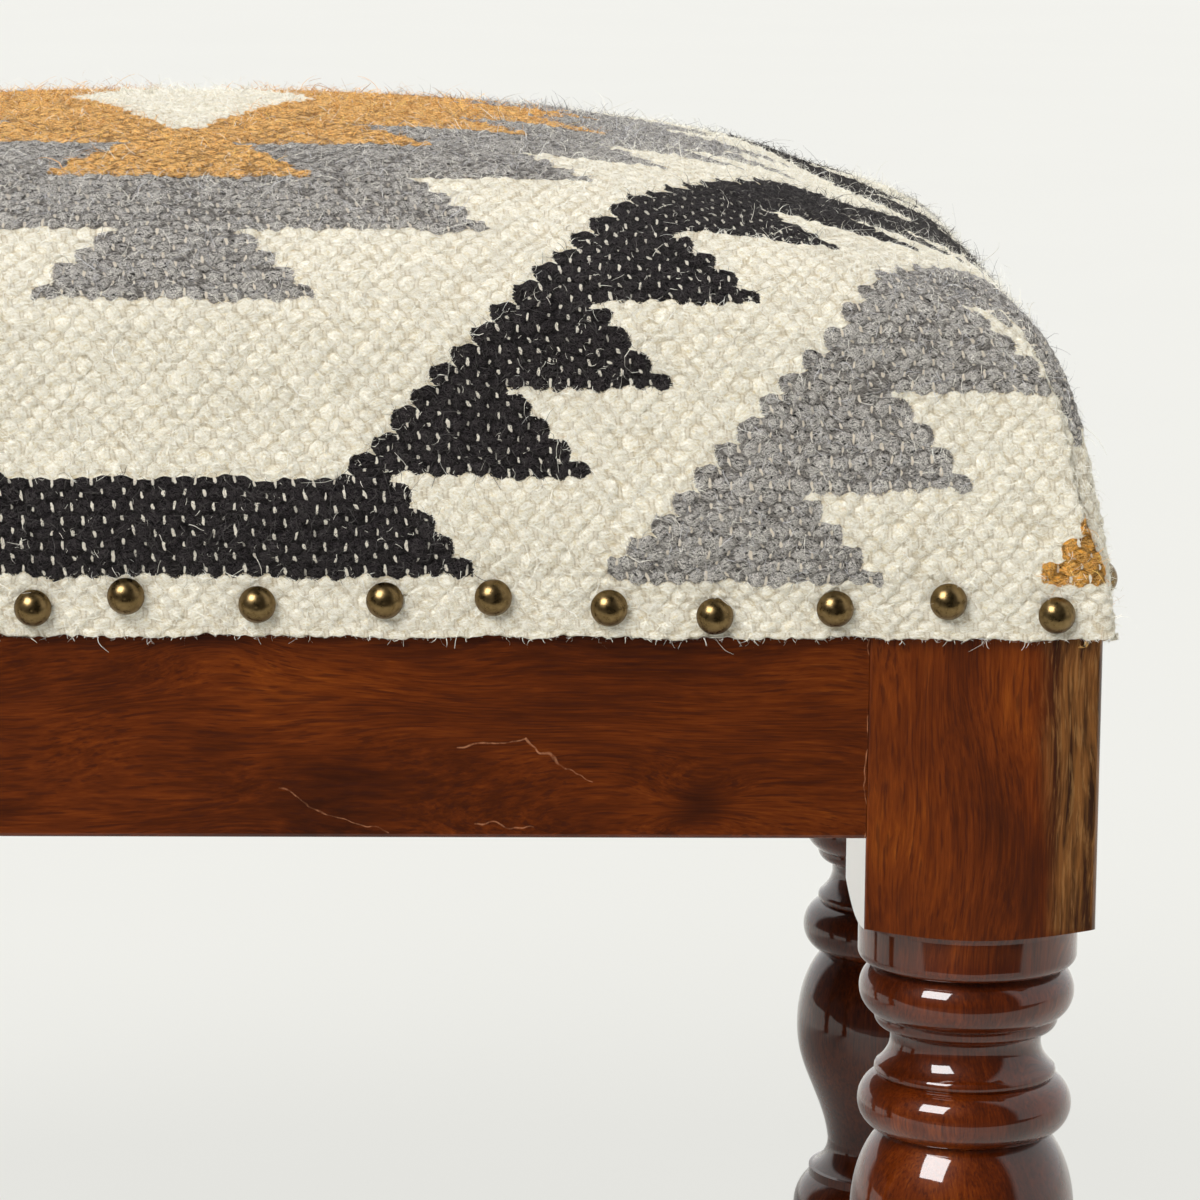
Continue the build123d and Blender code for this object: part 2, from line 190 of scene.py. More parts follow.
def side_point(u, v):
    """A point of the cloth over a long side and the dome, for u and v not below 0."""
    a, b, r, turn, z = level(level_of_front(v), LEVEL_X, LEVEL_Y, LEVEL_R, LEVEL_TURN, LEVEL_Z)
    straight = a - r
    reach = straight + r * turn
    held = np.minimum(u, reach)
    angle = np.maximum(held - straight, 0) / r
    wall = np.stack(
        [np.minimum(held, straight) + r * np.sin(angle), b - r + r * np.cos(angle), z], -1
    )
    domed = smooth((v - FOLD_V) / (SIDE_BLEND_PICKS * PICK) + 1)[..., None]
    point = wall * (1 - domed) + dome_point(np.where(v < FOLD_V, held, u), v) * domed
    open_share = smooth((FOLD_V - v) / (FOLD_PICKS_TO_OPEN * PICK))
    outward = np.stack([np.sin(angle), np.cos(angle), np.zeros_like(angle)], -1)
    onward = np.stack([np.cos(angle), -np.sin(angle), np.zeros_like(angle)], -1)
    lift = CREASE_LIFT * open_share * smooth(1 - (reach - held) / LIFT_REACH)
    roll = ROLL_RADIUS * open_share + 0.05
    bend = np.minimum(np.where(v < FOLD_V, u - held, 0) / roll, math.pi)
    point = point + outward * (lift - roll * (1 - np.cos(bend)))[..., None]
    return point + onward * (roll * np.sin(bend))[..., None]


# The ends' cloth goes under that edge. It swells beside it and is tucked in below it.
DOME_EDGE_Y = float(np.interp(FOLD_V, FRONT_ARC, LEVEL_Y))
DOME_PICKS_BELOW = 6
END_BLEND = 35
END_OPEN = 25
END_FAN = 0.15
END_FAN_REACH = 60
END_MARGIN_PICKS = (1.6, 3.2)
SWELL = 1.3
SWELL_PLACE = 11
SWELL_WIDTH = 7
TUCK = 1.8
TUCK_DEEPER = 1.2


def end_reach(u):
    """How far from the middle line an end's cloth reaches before it goes under the fold."""
    b, r, turn = level(level_of_end(u), LEVEL_Y, LEVEL_R, LEVEL_TURN)
    domed = smooth(1 - (u - FOLD_U) / END_BLEND)
    return DOME_EDGE_Y * domed + (b - r + r * (math.pi / 2 - turn)) * (1 - domed)


def end_width(u, v):
    """How far from the middle line a pick lies on an end. Towards the hem the picks fan out."""
    width = np.where(v < FOLD_V, DOME_EDGE_Y + FOLD_V - v, np.interp(v, FRONT_ARC, LEVEL_Y))
    return width * (1 + END_FAN * smooth((u - FOLD_U) / END_FAN_REACH))


def end_point(u, v):
    """A point of the cloth over an end, for u and v not below 0."""
    a, b, r, z = level(level_of_end(u), LEVEL_X, LEVEL_Y, LEVEL_R, LEVEL_Z)
    width = end_width(u, v)
    straight = b - r
    angle = np.clip((width - straight) / r, 0, 1.9)
    wall = np.stack(
        [a - r + r * np.cos(angle), np.minimum(width, straight) + r * np.sin(angle), z], -1
    )
    domed = smooth(1 - (u - FOLD_U) / END_BLEND)[..., None]
    point = wall * (1 - domed) + dome_point(u, np.maximum(v, FOLD_V - DOME_PICKS_BELOW * PICK)) * domed
    outward = np.stack([np.cos(angle), np.sin(angle), np.zeros_like(angle)], -1)
    short = end_reach(u) - width
    open_share = smooth((u - FOLD_U) / END_OPEN)
    swell = SWELL * np.exp(-(((short - SWELL_PLACE) / SWELL_WIDTH) ** 2)) - TUCK * smooth((4 - short) / 8)
    deeper = TUCK_DEEPER * smooth(-short / 3)
    return point + outward * (swell * open_share - deeper)[..., None]


# The hem wanders up and down: a slow wave that fades above it, and a short ragged one at its edge.
HEM_WAVE = 0.9
HEM_REACH = 26
HEM_RAG = 0.5
RAG_REACH = 5
RAG_LENGTHS = (11.3, 6.7, 4.1)
END_WAVE_SHIFT = 900
BACK_WAVE_SHIFT = 300


def waves(x, seed, lengths=(97, 41, 23)):
    """A smooth wandering line of height about 1."""
    phase = np.random.default_rng(seed).uniform(0, 2 * math.pi, len(lengths))
    return sum(np.sin(2 * math.pi * x / l + f) for l, f in zip(lengths, phase)) / len(lengths)


def cloth_point(p, q, on_end):
    """Where warp p and pick q cross, counted from the middle and from the front hem."""
    u, v = np.abs(p) * WARP, q * PICK
    behind = v > HALF_PICKS * PICK
    v = np.where(behind, 2 * HALF_PICKS * PICK - v, v)
    side_x, side_y = np.where(p < 0, -1, 1), np.where(behind, 1, -1)
    under = np.maximum(-v, 0) if not on_end else np.maximum(u - HALF_WARPS * WARP, 0)
    u, v = np.minimum(u, HALF_WARPS * WARP), np.maximum(v, 0)
    point = (end_point if on_end else side_point)(u, v)
    from_hem = HALF_WARPS * WARP - u if on_end else v
    near_hem = smooth(1 - from_hem / HEM_REACH)
    along = point[..., 1] * side_y + END_WAVE_SHIFT if on_end else point[..., 0] * side_x
    along = along + BACK_WAVE_SHIFT * side_y
    point[..., 2] += near_hem * HEM_WAVE * waves(along, 3)
    point[..., 2] += smooth(1 - from_hem / RAG_REACH) * HEM_RAG * waves(along, 4, RAG_LENGTHS)
    inward = under * CLOTH_THICKNESS / PICK
    point[..., 0 if on_end else 1] -= inward
    point[..., 0] *= side_x
    point[..., 1] *= side_y
    return point


def in_patch(p, q, on_end):
    """Whether a cell, given by its middle, is part of the cloth there."""
    u, v = np.abs(p) * WARP, q * PICK
    v = np.minimum(v, 2 * HALF_PICKS * PICK - v)
    if on_end:
        least, most = END_MARGIN_PICKS
        margin = PICK * (least + (most - least) * smooth((u - FOLD_U) / END_OPEN))
        return end_width(u, v) < end_reach(u) + margin
    folded = u < crease_reach(np.maximum(v, 0)) + math.pi * ROLL_RADIUS
    return np.where(v < FOLD_V, folded, u < FOLD_U)


# How many warps the sides' lattice holds from the middle, and picks the ends' lattice past the fold's start.
SIDE_WARPS = 97
END_PICKS_PAST = 12


def patches(warp_places, pick_places, end_places):
    """The lattice of each piece of the cover: sides with dome, right end, left end."""
    first = FOLD_PICK - END_PICKS_PAST
    end_picks = pick_places[(pick_places >= first) & (pick_places <= 2 * HALF_PICKS - first)]
    return (
        (warp_places, pick_places, False),
        (end_places, end_picks, True),
        (-end_places, end_picks, True),
    )


def joined(grids):
    """Faces of all patches over one list of points, the ends sharing the dome's edge points."""
    quads, start = [], 0
    side_p, side_q, _ = grids[0]
    for p, q, on_end in grids:
        index = start + np.arange(len(q) * len(p)).reshape(len(q), len(p))
        if on_end:
            shared = (q >= FOLD_PICK) & (q <= 2 * HALF_PICKS - FOLD_PICK)
            column = int(np.argmin(np.abs(side_p - p[0])))
            rows = np.searchsorted(side_q, q[shared] - 1e-6)
            index[shared, 0] = rows * len(side_p) + column
        mid_p, mid_q = np.meshgrid((p[1:] + p[:-1]) / 2, (q[1:] + q[:-1]) / 2)
        kept = in_patch(mid_p, mid_q, on_end)
        corners = (index[:-1, :-1], index[:-1, 1:], index[1:, 1:], index[1:, :-1])
        if on_end and p[0] < 0:
            corners = corners[::-1]
        quads.append(np.stack([c[kept] for c in corners], -1))
        start += len(q) * len(p)
    return np.concatenate(quads)


def build_mesh(name, points, quads):
    """A mesh of quads from arrays, without the points that no face uses. Also gives the points kept."""
    used, quads = np.unique(quads, return_inverse=True)
    quads = quads.reshape(-1, 4)
    mesh = bpy.data.meshes.new(name)
    mesh.vertices.add(len(used))
    mesh.vertices.foreach_set("co", (points[used] * MM).ravel().astype(np.float32))
    mesh.loops.add(quads.size)
    mesh.loops.foreach_set("vertex_index", quads.ravel().astype(np.int32))
    mesh.polygons.add(len(quads))
    mesh.polygons.foreach_set("loop_start", np.arange(0, quads.size, 4, dtype=np.int32))
    mesh.update(calc_edges=True)
    mesh.validate()
    mesh.polygons.foreach_set("use_smooth", np.ones(len(mesh.polygons), bool))
    return mesh, used


def add_piece(name, data):
    """Put a mesh, a light or a camera into the scene."""
    piece = bpy.data.objects.new(name, data)
    bpy.context.collection.objects.link(piece)
    return piece


NAIL_TOP_DEPTH = 0.6
NAIL_GAP = 8
NAIL_REACH = 9.5
NAIL_PRESS = 0.9
NAILED_STRIP = 40


def nail_centres():
    """The middles of all nail heads, in millimetres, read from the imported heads."""
    found = []
    for side, axis, sign in (("front", 1, -1), ("back", 1, 1), ("left", 0, -1), ("right", 0, 1)):
        mesh = nodes[f"nails_{side}"].data
        points = np.array([v.co for v in mesh.vertices]) / MM
        outward = points[:, axis] * sign
        tops = points[outward > outward.max() - NAIL_TOP_DEPTH]
        along = tops[:, 1 - axis]
        order = np.argsort(along)
        tops = tops[order]
        breaks = np.where(np.diff(along[order]) > NAIL_GAP)[0] + 1
        for group in np.split(tops, breaks):
            found.append(group.mean(0))
    return np.array(found)


NAILS = nail_centres()


def nail_press(points):
    """How far the nails press the cloth in at each point, in millimetres."""
    flat = points.reshape(-1, 3)
    press = np.zeros(len(flat))
    low = np.where(flat[:, 2] < HEM + NAILED_STRIP)[0]
    for nail in NAILS:
        near = low[(np.abs(flat[low] - nail) < 2 * NAIL_REACH).all(1)]
        away = np.linalg.norm(flat[near] - nail, axis=1)
        press[near] += NAIL_PRESS * np.exp(-((away / NAIL_REACH) ** 2))
    return press.reshape(points.shape[:-1])


# Cloth simulation: the cover, nailed at its hem, under the pressure of the foam.
SIM_PRESSURE = 4.0
SIM_FRAMES = 16
SIM_CAP = 2.4
HELD_STRIP = 3
PUFF_FULL = 35
PUFF_FADE = 40


def simulated(mesh, held):
    """Where the points of a cloth come to rest under pressure, in millimetres, some of them held."""
    piece = add_piece("cover_sim", mesh)
    pins = piece.vertex_groups.new(name="pins")
    pins.add(np.where(held)[0].tolist(), 1.0, "REPLACE")
    cloth = piece.modifiers.new("cloth", "CLOTH")
    settings = cloth.settings
    settings.quality = 5
    settings.mass = 0.3
    settings.tension_stiffness = settings.compression_stiffness = 25
    settings.shear_stiffness = 12
    settings.bending_stiffness = 2
    settings.vertex_group_mass = "pins"
    settings.use_pressure = True
    settings.uniform_pressure_force = SIM_PRESSURE
    settings.effector_weights.gravity = 0
    cloth.point_cache.frame_start, cloth.point_cache.frame_end = 1, SIM_FRAMES
    scene = bpy.context.scene
    for number in range(1, SIM_FRAMES + 1):
        scene.frame_set(number)
    made = piece.evaluated_get(bpy.context.evaluated_depsgraph_get()).to_mesh()
    after = np.empty(len(held) * 3, np.float32)
    made.vertices.foreach_get("co", after)
    scene.frame_set(1)
    bpy.data.objects.remove(piece)
    return after.reshape(-1, 3) / MM


def simulated_puff():
    """How far the nailed cloth puffs out at each point of a coarse lattice, patch by patch."""
    warp_places = np.arange(-SIDE_WARPS, SIDE_WARPS + 1, 2.0)
    end_places = np.r_[np.arange(FOLD_WARP, HALF_WARPS, 2.0), HALF_WARPS]
    grids = patches(warp_places, np.arange(0, 2 * HALF_PICKS + 1, 2.0), end_places)
    nets = [cloth_point(*np.meshgrid(p, q), on_end) for p, q, on_end in grids]
    sizes = [net.shape[:2] for net in nets]
    points = np.concatenate([net.reshape(-1, 3) for net in nets])
    quads = joined(grids)
    mesh, used = build_mesh("cover_sim", points, quads)
    rest = points[used]
    held = np.abs(nail_press(rest)) > 0.3 * NAIL_PRESS
    held |= rest[:, 2] < HEM + HELD_STRIP
    held |= np.bincount(quads.ravel(), minlength=len(points))[used] < 4
    normal = np.empty(len(used) * 3, np.float32)
    mesh.vertices.foreach_get("normal", normal)
    moved = ((simulated(mesh, held) - rest) * normal.reshape(-1, 3)).sum(1)
    spread = np.median(moved[~held])
    # Above the nailed strip the form is the one read from the photo.
    strip = 1 - smooth((rest[:, 2] - HEM - PUFF_FULL) / PUFF_FADE)
    puff = np.zeros(len(points))
    puff[used] = strip * np.clip(np.where(held, 0, moved) - spread, -SIM_CAP, SIM_CAP)
    parts = np.split(puff, np.cumsum([a * b for a, b in sizes])[:-1])
    return grids, [part.reshape(size) for part, size in zip(parts, sizes)]


def read_grid(places_p, places_q, values, p, q):
    """Values of a coarse lattice read at finer places."""
    if places_p[0] > places_p[-1]:
        places_p, values = places_p[::-1], values[:, ::-1]
    at_p = np.interp(p, places_p, np.arange(len(places_p)))
    at_q = np.interp(q, places_q, np.arange(len(places_q)))
    i = np.minimum(at_p.astype(int), len(places_p) - 2)
    j = np.minimum(at_q.astype(int), len(places_q) - 2)
    f, g = at_p - i, at_q - j
    low = values[j][:, i] * (1 - f) + values[j][:, i + 1] * f
    high = values[j + 1][:, i] * (1 - f) + values[j + 1][:, i + 1] * f
    return low * (1 - g[:, None]) + high * g[:, None]


# The pattern, in millimetres from the middle at each pick: where each tooth's tip is, by its first pick.
CREAM, BLACK, GREY, OCHRE = range(4)
TIER = 8
BLACK_TIPS = {6: 96, 14: 133, 22: 159, 30: 187, 38: 217, 46: 246, 54: 268, 62: 290, 70: 312}
GREY_TIPS = {6: 227, 14: 256, 22: 282, 30: 307, 38: 330, 46: 354, 54: 378, 62: 402, 70: 426}
OCHRE_TIPS = {6: 367, 14: 393, 22: 419, 30: 445, 38: 471, 46: 497, 54: 520, 62: 540, 70: 560}
GREY_MEDALLION_TIPS = {30: 45, 38: 101, 46: 135, 54: 162, 62: 189, 70: 212}
OCHRE_MEDALLION_TIPS = {46: 43, 54: 82, 62: 115, 70: 142}
# The inner edges of the three stepped bands: where each starts, and how far out it moves with a pick.
BAND_PICK = 6
BLACK_START = 56
GREY_START = 138.5
GREY_RATE = 3.45
OCHRE_START = 278.5
DIAMOND_PICK = 59
DIAMOND_START = 7
DIAMOND_RATE = 2.0
# Towards the crown the black areas are a little larger.
BLACK_GAIN = 0.8
LOBE = 2.0


def stair(q, first, rate):
    """An edge that moves in steps of two picks from a pick on, and how much each step is rounded off."""
    step = np.floor((q - first) / 2)
    middle = q - first - 2 * step - 1
    return 2 * rate * step, LOBE * (1 - np.sqrt(np.maximum(1 - middle**2, 0)))


def teeth_margin(place, q, tips):
    """How far inside an outline of teeth a place is, each tooth widest at its first pick."""
    margin = np.full(place.shape, -99.0)
    for first, tip in tips.items():
        moved, rounded = stair(q, first - 0.7, WARP)
        tooth = np.minimum(tip - moved - rounded - place, (q - first) * PICK)
        tooth = np.minimum(tooth, (first + TIER + 1 - q) * PICK)
        margin = np.maximum(margin, tooth)
    return margin


def beyond(place, q, first, start, rate):
    """How far outside a stepped inner edge a place is."""
    moved, rounded = stair(q, first, rate)
    return place - start - moved - rounded


def yarn_areas(p, q):
    """How far inside the black, grey and ochre areas each place of the cloth is, in millimetres."""
    place = np.abs(p) * WARP
    q = np.minimum(q, 2 * HALF_PICKS - q)
    second = BAND_PICK + TIER
    inner_black = np.where(q < second, 99, beyond(place, q, second, BLACK_START, WARP))
    black = np.minimum(teeth_margin(place, q, BLACK_TIPS), inner_black)
    black = black + BLACK_GAIN * smooth((q - 40) / 10)
    inner_grey = beyond(place, q, BAND_PICK, GREY_START, GREY_RATE)
    grey = np.minimum(teeth_margin(place, q, GREY_TIPS), inner_grey)
    grey = np.maximum(grey, teeth_margin(place, q, GREY_MEDALLION_TIPS))
    inner_ochre = beyond(place, q, BAND_PICK, OCHRE_START, WARP)
    ochre = np.minimum(teeth_margin(place, q, OCHRE_TIPS), inner_ochre)
    ochre = np.maximum(ochre, teeth_margin(place, q, OCHRE_MEDALLION_TIPS))
    spread, rounded = stair(q, DIAMOND_PICK, DIAMOND_RATE)
    diamond = np.minimum(DIAMOND_START + spread - rounded - place, (q - DIAMOND_PICK) * PICK)
    return np.stack([black, np.minimum(grey, -diamond), np.minimum(ochre, -diamond)], -1)


def srgb(*rgb):
    """A colour of 0 to 255 as linear light."""
    c = np.array(rgb, float) / 255
    return tuple(np.where(c <= 0.04045, c / 12.92, ((c + 0.055) / 1.055) ** 2.4))


YARN_COLOURS = np.array(
    [srgb(240, 237, 226), srgb(28, 26, 28), srgb(142, 142, 145), srgb(207, 151, 78)]
)
# The weave's relief in millimetres, how far picks wave round the warps and swell with the hand-spun
# yarn, in picks, the swellings' length in warps, and how much lower the crown lies, in millimetres.
RELIEF = 1.1
WAVE = 0.19
SLUB = 0.13
SLUB_LENGTH = 2.6
CROWN_SUNK = 1.0


def knob_noise(warp, pick, seed):
    """A steady random number from 0 to 1 for each knob."""
    mixed = np.sin(warp * 12.9898 + pick * 78.233 + seed * 37.719) * 43758.5453
    return mixed - np.floor(mixed)


def knob_of(p, q):
    """The knob that a place belongs to: its warp and its pick."""
    pick = np.floor(q + 1e-6)
    return pick + 2 * np.round((p - pick) / 2), pick


def soft_noise(x, y, seed):
    """A smooth random surface from 0 to 1 with a bump or two a unit."""
    i, j = np.floor(x), np.floor(y)
    f, g = smooth(x - i), smooth(y - j)
    low = knob_noise(i, j, seed) * (1 - f) + knob_noise(i + 1, j, seed) * f
    high = knob_noise(i, j + 1, seed) * (1 - f) + knob_noise(i + 1, j + 1, seed) * f
    return low * (1 - g) + high * g


# The pattern lies a little lower or higher than even picks would: pick, then how far near the
# middle and how far near the ends, in picks.
PICK_STRAYS = (
    (0, 0, 0), (6, -0.45, -0.85), (14, 0.55, -0.7), (22, 0.25, 0.0), (30, -0.15, -0.2),
    (38, -0.6, -0.6), (46, -0.8, -0.8), (54, -0.8, -0.8), (60, -0.3, -0.3), (78, 0, 0),
)


def pick_stray(p, q):
    """How far the picks stray at a place of the cloth, in picks. The fold's start stays where it is."""
    from_hem = np.minimum(q, 2 * HALF_PICKS - q)
    place = np.abs(p) * WARP
    picks, inner, outer = np.array(PICK_STRAYS, float).T
    share = smooth((place - 125) / 40) * (1 - 0.7 * smooth((place - 285) / 25))
    stray = np.interp(from_hem, picks, inner) * (1 - share) + np.interp(from_hem, picks, outer) * share
    near_fold = smooth(1.4 - np.hypot((np.abs(p) - FOLD_WARP) / 8, (from_hem - FOLD_PICK) / 6))
    return stray * (1 - near_fold) * np.where(q > HALF_PICKS, -1, 1)


def slub(p, pick):
    """How thick the hand-spun yarn of a pick is along its length, from -1 to 1."""
    along = p / SLUB_LENGTH + 0.37 * pick
    knot = np.floor(along)
    share = smooth(along - knot)
    return 2 * (knob_noise(knot, pick, 4) * (1 - share) + knob_noise(knot + 1, pick, 4) * share) - 1


def weave_shift(p, q):
    """The place of a lattice point in the cloth, with the picks' wave and the hand's unevenness."""
    pick = np.floor(q + 1e-6)
    share = q - pick
    wave = WAVE * np.cos(math.pi * (p - pick)) * (2 * share - 1)
    lower = SLUB * (slub(p, pick - 1) - slub(p, pick))
    upper = SLUB * (slub(p, pick) - slub(p, pick + 1))
    wave = wave + lower * (1 - share) + upper * share
    drift_q = 0.3 * waves(p * 3.2 + q * 0.9, 11, (83, 37, 19))
    drift_q = drift_q + 0.12 * waves(p * 3.2 - q * 5, 12, (29, 13, 17))
    drift_p = 0.25 * waves(q * 3.6 + p * 0.7, 13, (61, 33, 21))
    drift_p = drift_p + 0.2 * waves(q * 3.6 - p * 4, 14, (19, 11, 27))
    inside = smooth(np.minimum(q, 2 * HALF_PICKS - q) / 4)
    hold = 1 - smooth(1 - np.abs(np.abs(p) - FOLD_WARP) / 3)
    return p + drift_p * hold, q + (wave + drift_q) * inside + pick_stray(p, q)


def relief_of(p, q):
    """Height of the woven surface over the cloth's even face, in millimetres."""
    warp, pick = knob_of(p, q)
    across = np.abs(p - warp)
    share = q - pick - 0.5
    merged = soft_noise(p * 0.6, q * 0.8, 8)
    valley = 0.15 + 0.5 * merged
    row = valley + (1 - valley) * np.cos(math.pi * np.clip(share, -0.5, 0.5)) ** 0.7
    weft = 0.35 + 0.65 * np.cos(math.pi * across / 2) ** 2
    size = 0.66 + 0.45 * knob_noise(warp, pick, 1) + 0.25 * slub(p, pick)
    thread = 0.34 * (across > 0.85) * (np.abs(share) < 0.4)
    lumps = 0.5 * (soft_noise(p * 1.1, q * 1.2, 6) - 0.5)
    lumps = lumps + 0.35 * (soft_noise(p * 2.1, q * 2.4, 7) - 0.5)
    return RELIEF * (np.maximum(weft * size, thread) * row + lumps - 0.6)


def edge_distance(areas, step):
    """How far along its pick each place is from the nearest change of yarn."""
    yarn = (areas > 0) @ np.array([1, 2, 4])
    count = yarn.shape[1]
    column = np.arange(count)
    changed = np.zeros(yarn.shape, bool)
    changed[:, 1:] = yarn[:, 1:] != yarn[:, :-1]
    before = np.maximum.accumulate(np.where(changed, column, -99), axis=1)
    after = np.minimum.accumulate(np.where(changed, column, count + 99)[:, ::-1], axis=1)[:, ::-1]
    return np.minimum(column - before, after - column) * step


def fine_places(low, high, steps):
    """Even places from low to high, a number of steps to each unit."""
    return np.arange(round(low * steps), round(high * steps) + 1) / steps


# How far the cloth's edge turns in under the hem, in picks and in warps.
HEM_TURN = 0.75
END_TURN = 2 / 3


def kilim_cover():
    """The woven cover: its form, its weave and the yarn of each knob."""
    coarse, puffs = simulated_puff()
    warp_places = fine_places(-SIDE_WARPS, SIDE_WARPS, WARP_STEPS)
    pick_places = fine_places(-HEM_TURN, 2 * HALF_PICKS + HEM_TURN, PICK_STEPS)
    end_places = fine_places(FOLD_WARP, HALF_WARPS + END_TURN, WARP_STEPS)
    grids = patches(warp_places, pick_places, end_places)
    all_points, weaves, areas, edges = [], [], [], []
    for (p, q, on_end), (coarse_p, coarse_q, _), puff in zip(grids, coarse, puffs):
        pp, qq = np.meshgrid(p, q)
        points = cloth_point(*weave_shift(pp, qq), on_end)
        normal = np.cross(np.gradient(points, axis=1), np.gradient(points, axis=0))
        normal /= np.linalg.norm(normal, axis=-1, keepdims=True) + 1e-9
        if p[0] > p[-1]:
            normal = -normal
        area = yarn_areas(pp, qq)
        relief = relief_of(pp, qq)
        sunk = CROWN_SUNK * smooth((np.minimum(qq, 2 * HALF_PICKS - qq) - 25) / 25)
        raised = relief - sunk + read_grid(coarse_p, coarse_q, puff, p, q) - nail_press(points)
        points = points + normal * raised[..., None]
        all_points.append(points.reshape(-1, 3))
        weaves.append(np.stack([pp, qq, relief / RELIEF], -1).reshape(-1, 3))
        areas.append(area.reshape(-1, 3))
        edges.append(edge_distance(area, WARP / WARP_STEPS).ravel())
    quads = joined(grids)
    mesh, used = build_mesh("kilim_cloth", np.concatenate(all_points), quads)
    for name, values in (("weave", weaves), ("areas", areas)):
        attribute = mesh.attributes.new(name, "FLOAT_VECTOR", "POINT")
        attribute.data.foreach_set("vector", np.concatenate(values)[used].ravel().astype(np.float32))
    attribute = mesh.attributes.new("edge", "FLOAT", "POINT")
    attribute.data.foreach_set("value", np.concatenate(edges)[used].astype(np.float32))
    cell = WARP / WARP_STEPS * PICK / PICK_STEPS
    return add_piece("kilim_cloth", mesh), len(quads) * cell


# How dark and how light the hairs of each yarn can be, and the share of them that is cream.
HAIR_TONES = np.array([(0.95, 1.15, 0.0), (0.5, 4.0, 0.07), (0.25, 2.6, 0.3), (0.5, 2.0, 0.10)])
# Loose hairs in millimetres: long stray ones, and a short fuzz all over.
STRAY_HAIRS = {
    "name": "stray_hairs", "count": 26000, "lengths": (2.0, 8.0), "lift": (0.1, 1.0), "tilt": 0.8,
    "thickness": 0.2, "parts": 5, "hem_weight": 1.0, "seed": 21,
}
SHORT_FUZZ = {
    "name": "short_fuzz", "count": 160000, "lengths": (1.2, 3.8), "lift": (0.1, 1.0), "tilt": 0.3,
    "thickness": 0.18, "parts": 3, "hem_weight": 0.5, "seed": 22,
}
HEM_STRIP = 3.5


def hair_roots(cloth, count, hem_weight, rng):
    """Where hairs grow: places and normals on the cloth, and the yarn there."""
    total = len(cloth.vertices)
    place, normal, area = (np.empty(total * 3, np.float32) for _ in range(3))
    cloth.vertices.foreach_get("co", place)
    cloth.vertices.foreach_get("normal", normal)
    cloth.attributes["areas"].data.foreach_get("vector", area)
    place, normal, area = place.reshape(-1, 3) / MM, normal.reshape(-1, 3), area.reshape(-1, 3)
    weight = np.where(place[:, 2] < HEM + HEM_STRIP, hem_weight, 1.0)
    root = rng.choice(total, count, p=weight / weight.sum())
    area = area[root]
    yarn = np.where(area[:, 2] > 0, OCHRE, np.where(area[:, 1] > 0, GREY, CREAM))
    yarn = np.where(area[:, 0] > 0, BLACK, yarn)
    return place[root], normal[root], yarn


def stray_wool(cloth, name, count, lengths, lift, tilt, thickness, parts, hem_weight, seed):
    """Hairs as thin bent ribbons rooted on the cloth."""
    rng = np.random.default_rng(seed)
    base, up, yarn = hair_roots(cloth, count, hem_weight, rng)
    at_hem = base[:, 2] < HEM + HEM_STRIP
    side = np.cross(up, rng.normal(size=(count, 3)))
    side /= np.linalg.norm(side, axis=1, keepdims=True)
    cross = np.cross(up, side)
    length = rng.uniform(*lengths, count) * np.where(rng.random(count) < 0.12, 2.0, 1.0)
    length = np.where(at_hem, 0.5 * length, length)
    rise = rng.uniform(*lift, count)
    curl = rng.normal(0, 0.8, count)
    drop = np.where(at_hem, rng.uniform(0.2, 0.9, count), 0)
    angle = rng.normal(0, 0.3, count)
    place = base - up * 0.3
    spine = [place]
    for k in range(parts):
        heading = side * np.cos(angle)[:, None] + cross * np.sin(angle)[:, None]
        step = heading + up * (rise * (1.15 - k / parts))[:, None] + np.array([0, 0, -1.0]) * drop[:, None]
        step /= np.linalg.norm(step, axis=1, keepdims=True)
        place = place + step * (length / parts)[:, None]
        spine.append(place)
        angle = angle + curl * 0.6 + rng.normal(0, 0.2, count)
    spine = np.stack(spine, 1)
    flat = cross + up * rng.normal(0, tilt, (count, 1))
    flat /= np.linalg.norm(flat, axis=1, keepdims=True)
    taper = np.linspace(1, 0.4, parts + 1)[None, :, None]
    wide = thickness * rng.uniform(0.7, 1.3, count) * np.where(at_hem, 1.1, 1.0)
    half = flat[:, None] * taper * wide[:, None, None] / 2
    points = np.stack([spine - half, spine + half], 2).reshape(-1, 3)
    index = np.arange(count * (parts + 1) * 2).reshape(count, parts + 1, 2)
    corners = (index[:, :-1, 0], index[:, 1:, 0], index[:, 1:, 1], index[:, :-1, 1])
    wool, _ = build_mesh(name, points, np.stack(corners, -1).reshape(-1, 4))
    tint = YARN_COLOURS[yarn] * rng.uniform(HAIR_TONES[yarn, 0], HAIR_TONES[yarn, 1])[:, None]
    pale = rng.random((count, 1)) < HAIR_TONES[yarn, 2][:, None]
    tint = np.where(pale, YARN_COLOURS[CREAM] * 0.95, tint)
    rgba = np.ones((count, 4), np.float32)
    rgba[:, :3] = np.minimum(tint, 0.9)
    colour = wool.attributes.new("yarn_colour", "FLOAT_COLOR", "FACE")
    colour.data.foreach_set("color", np.repeat(rgba, parts, 0).ravel())
    return add_piece(name, wool)


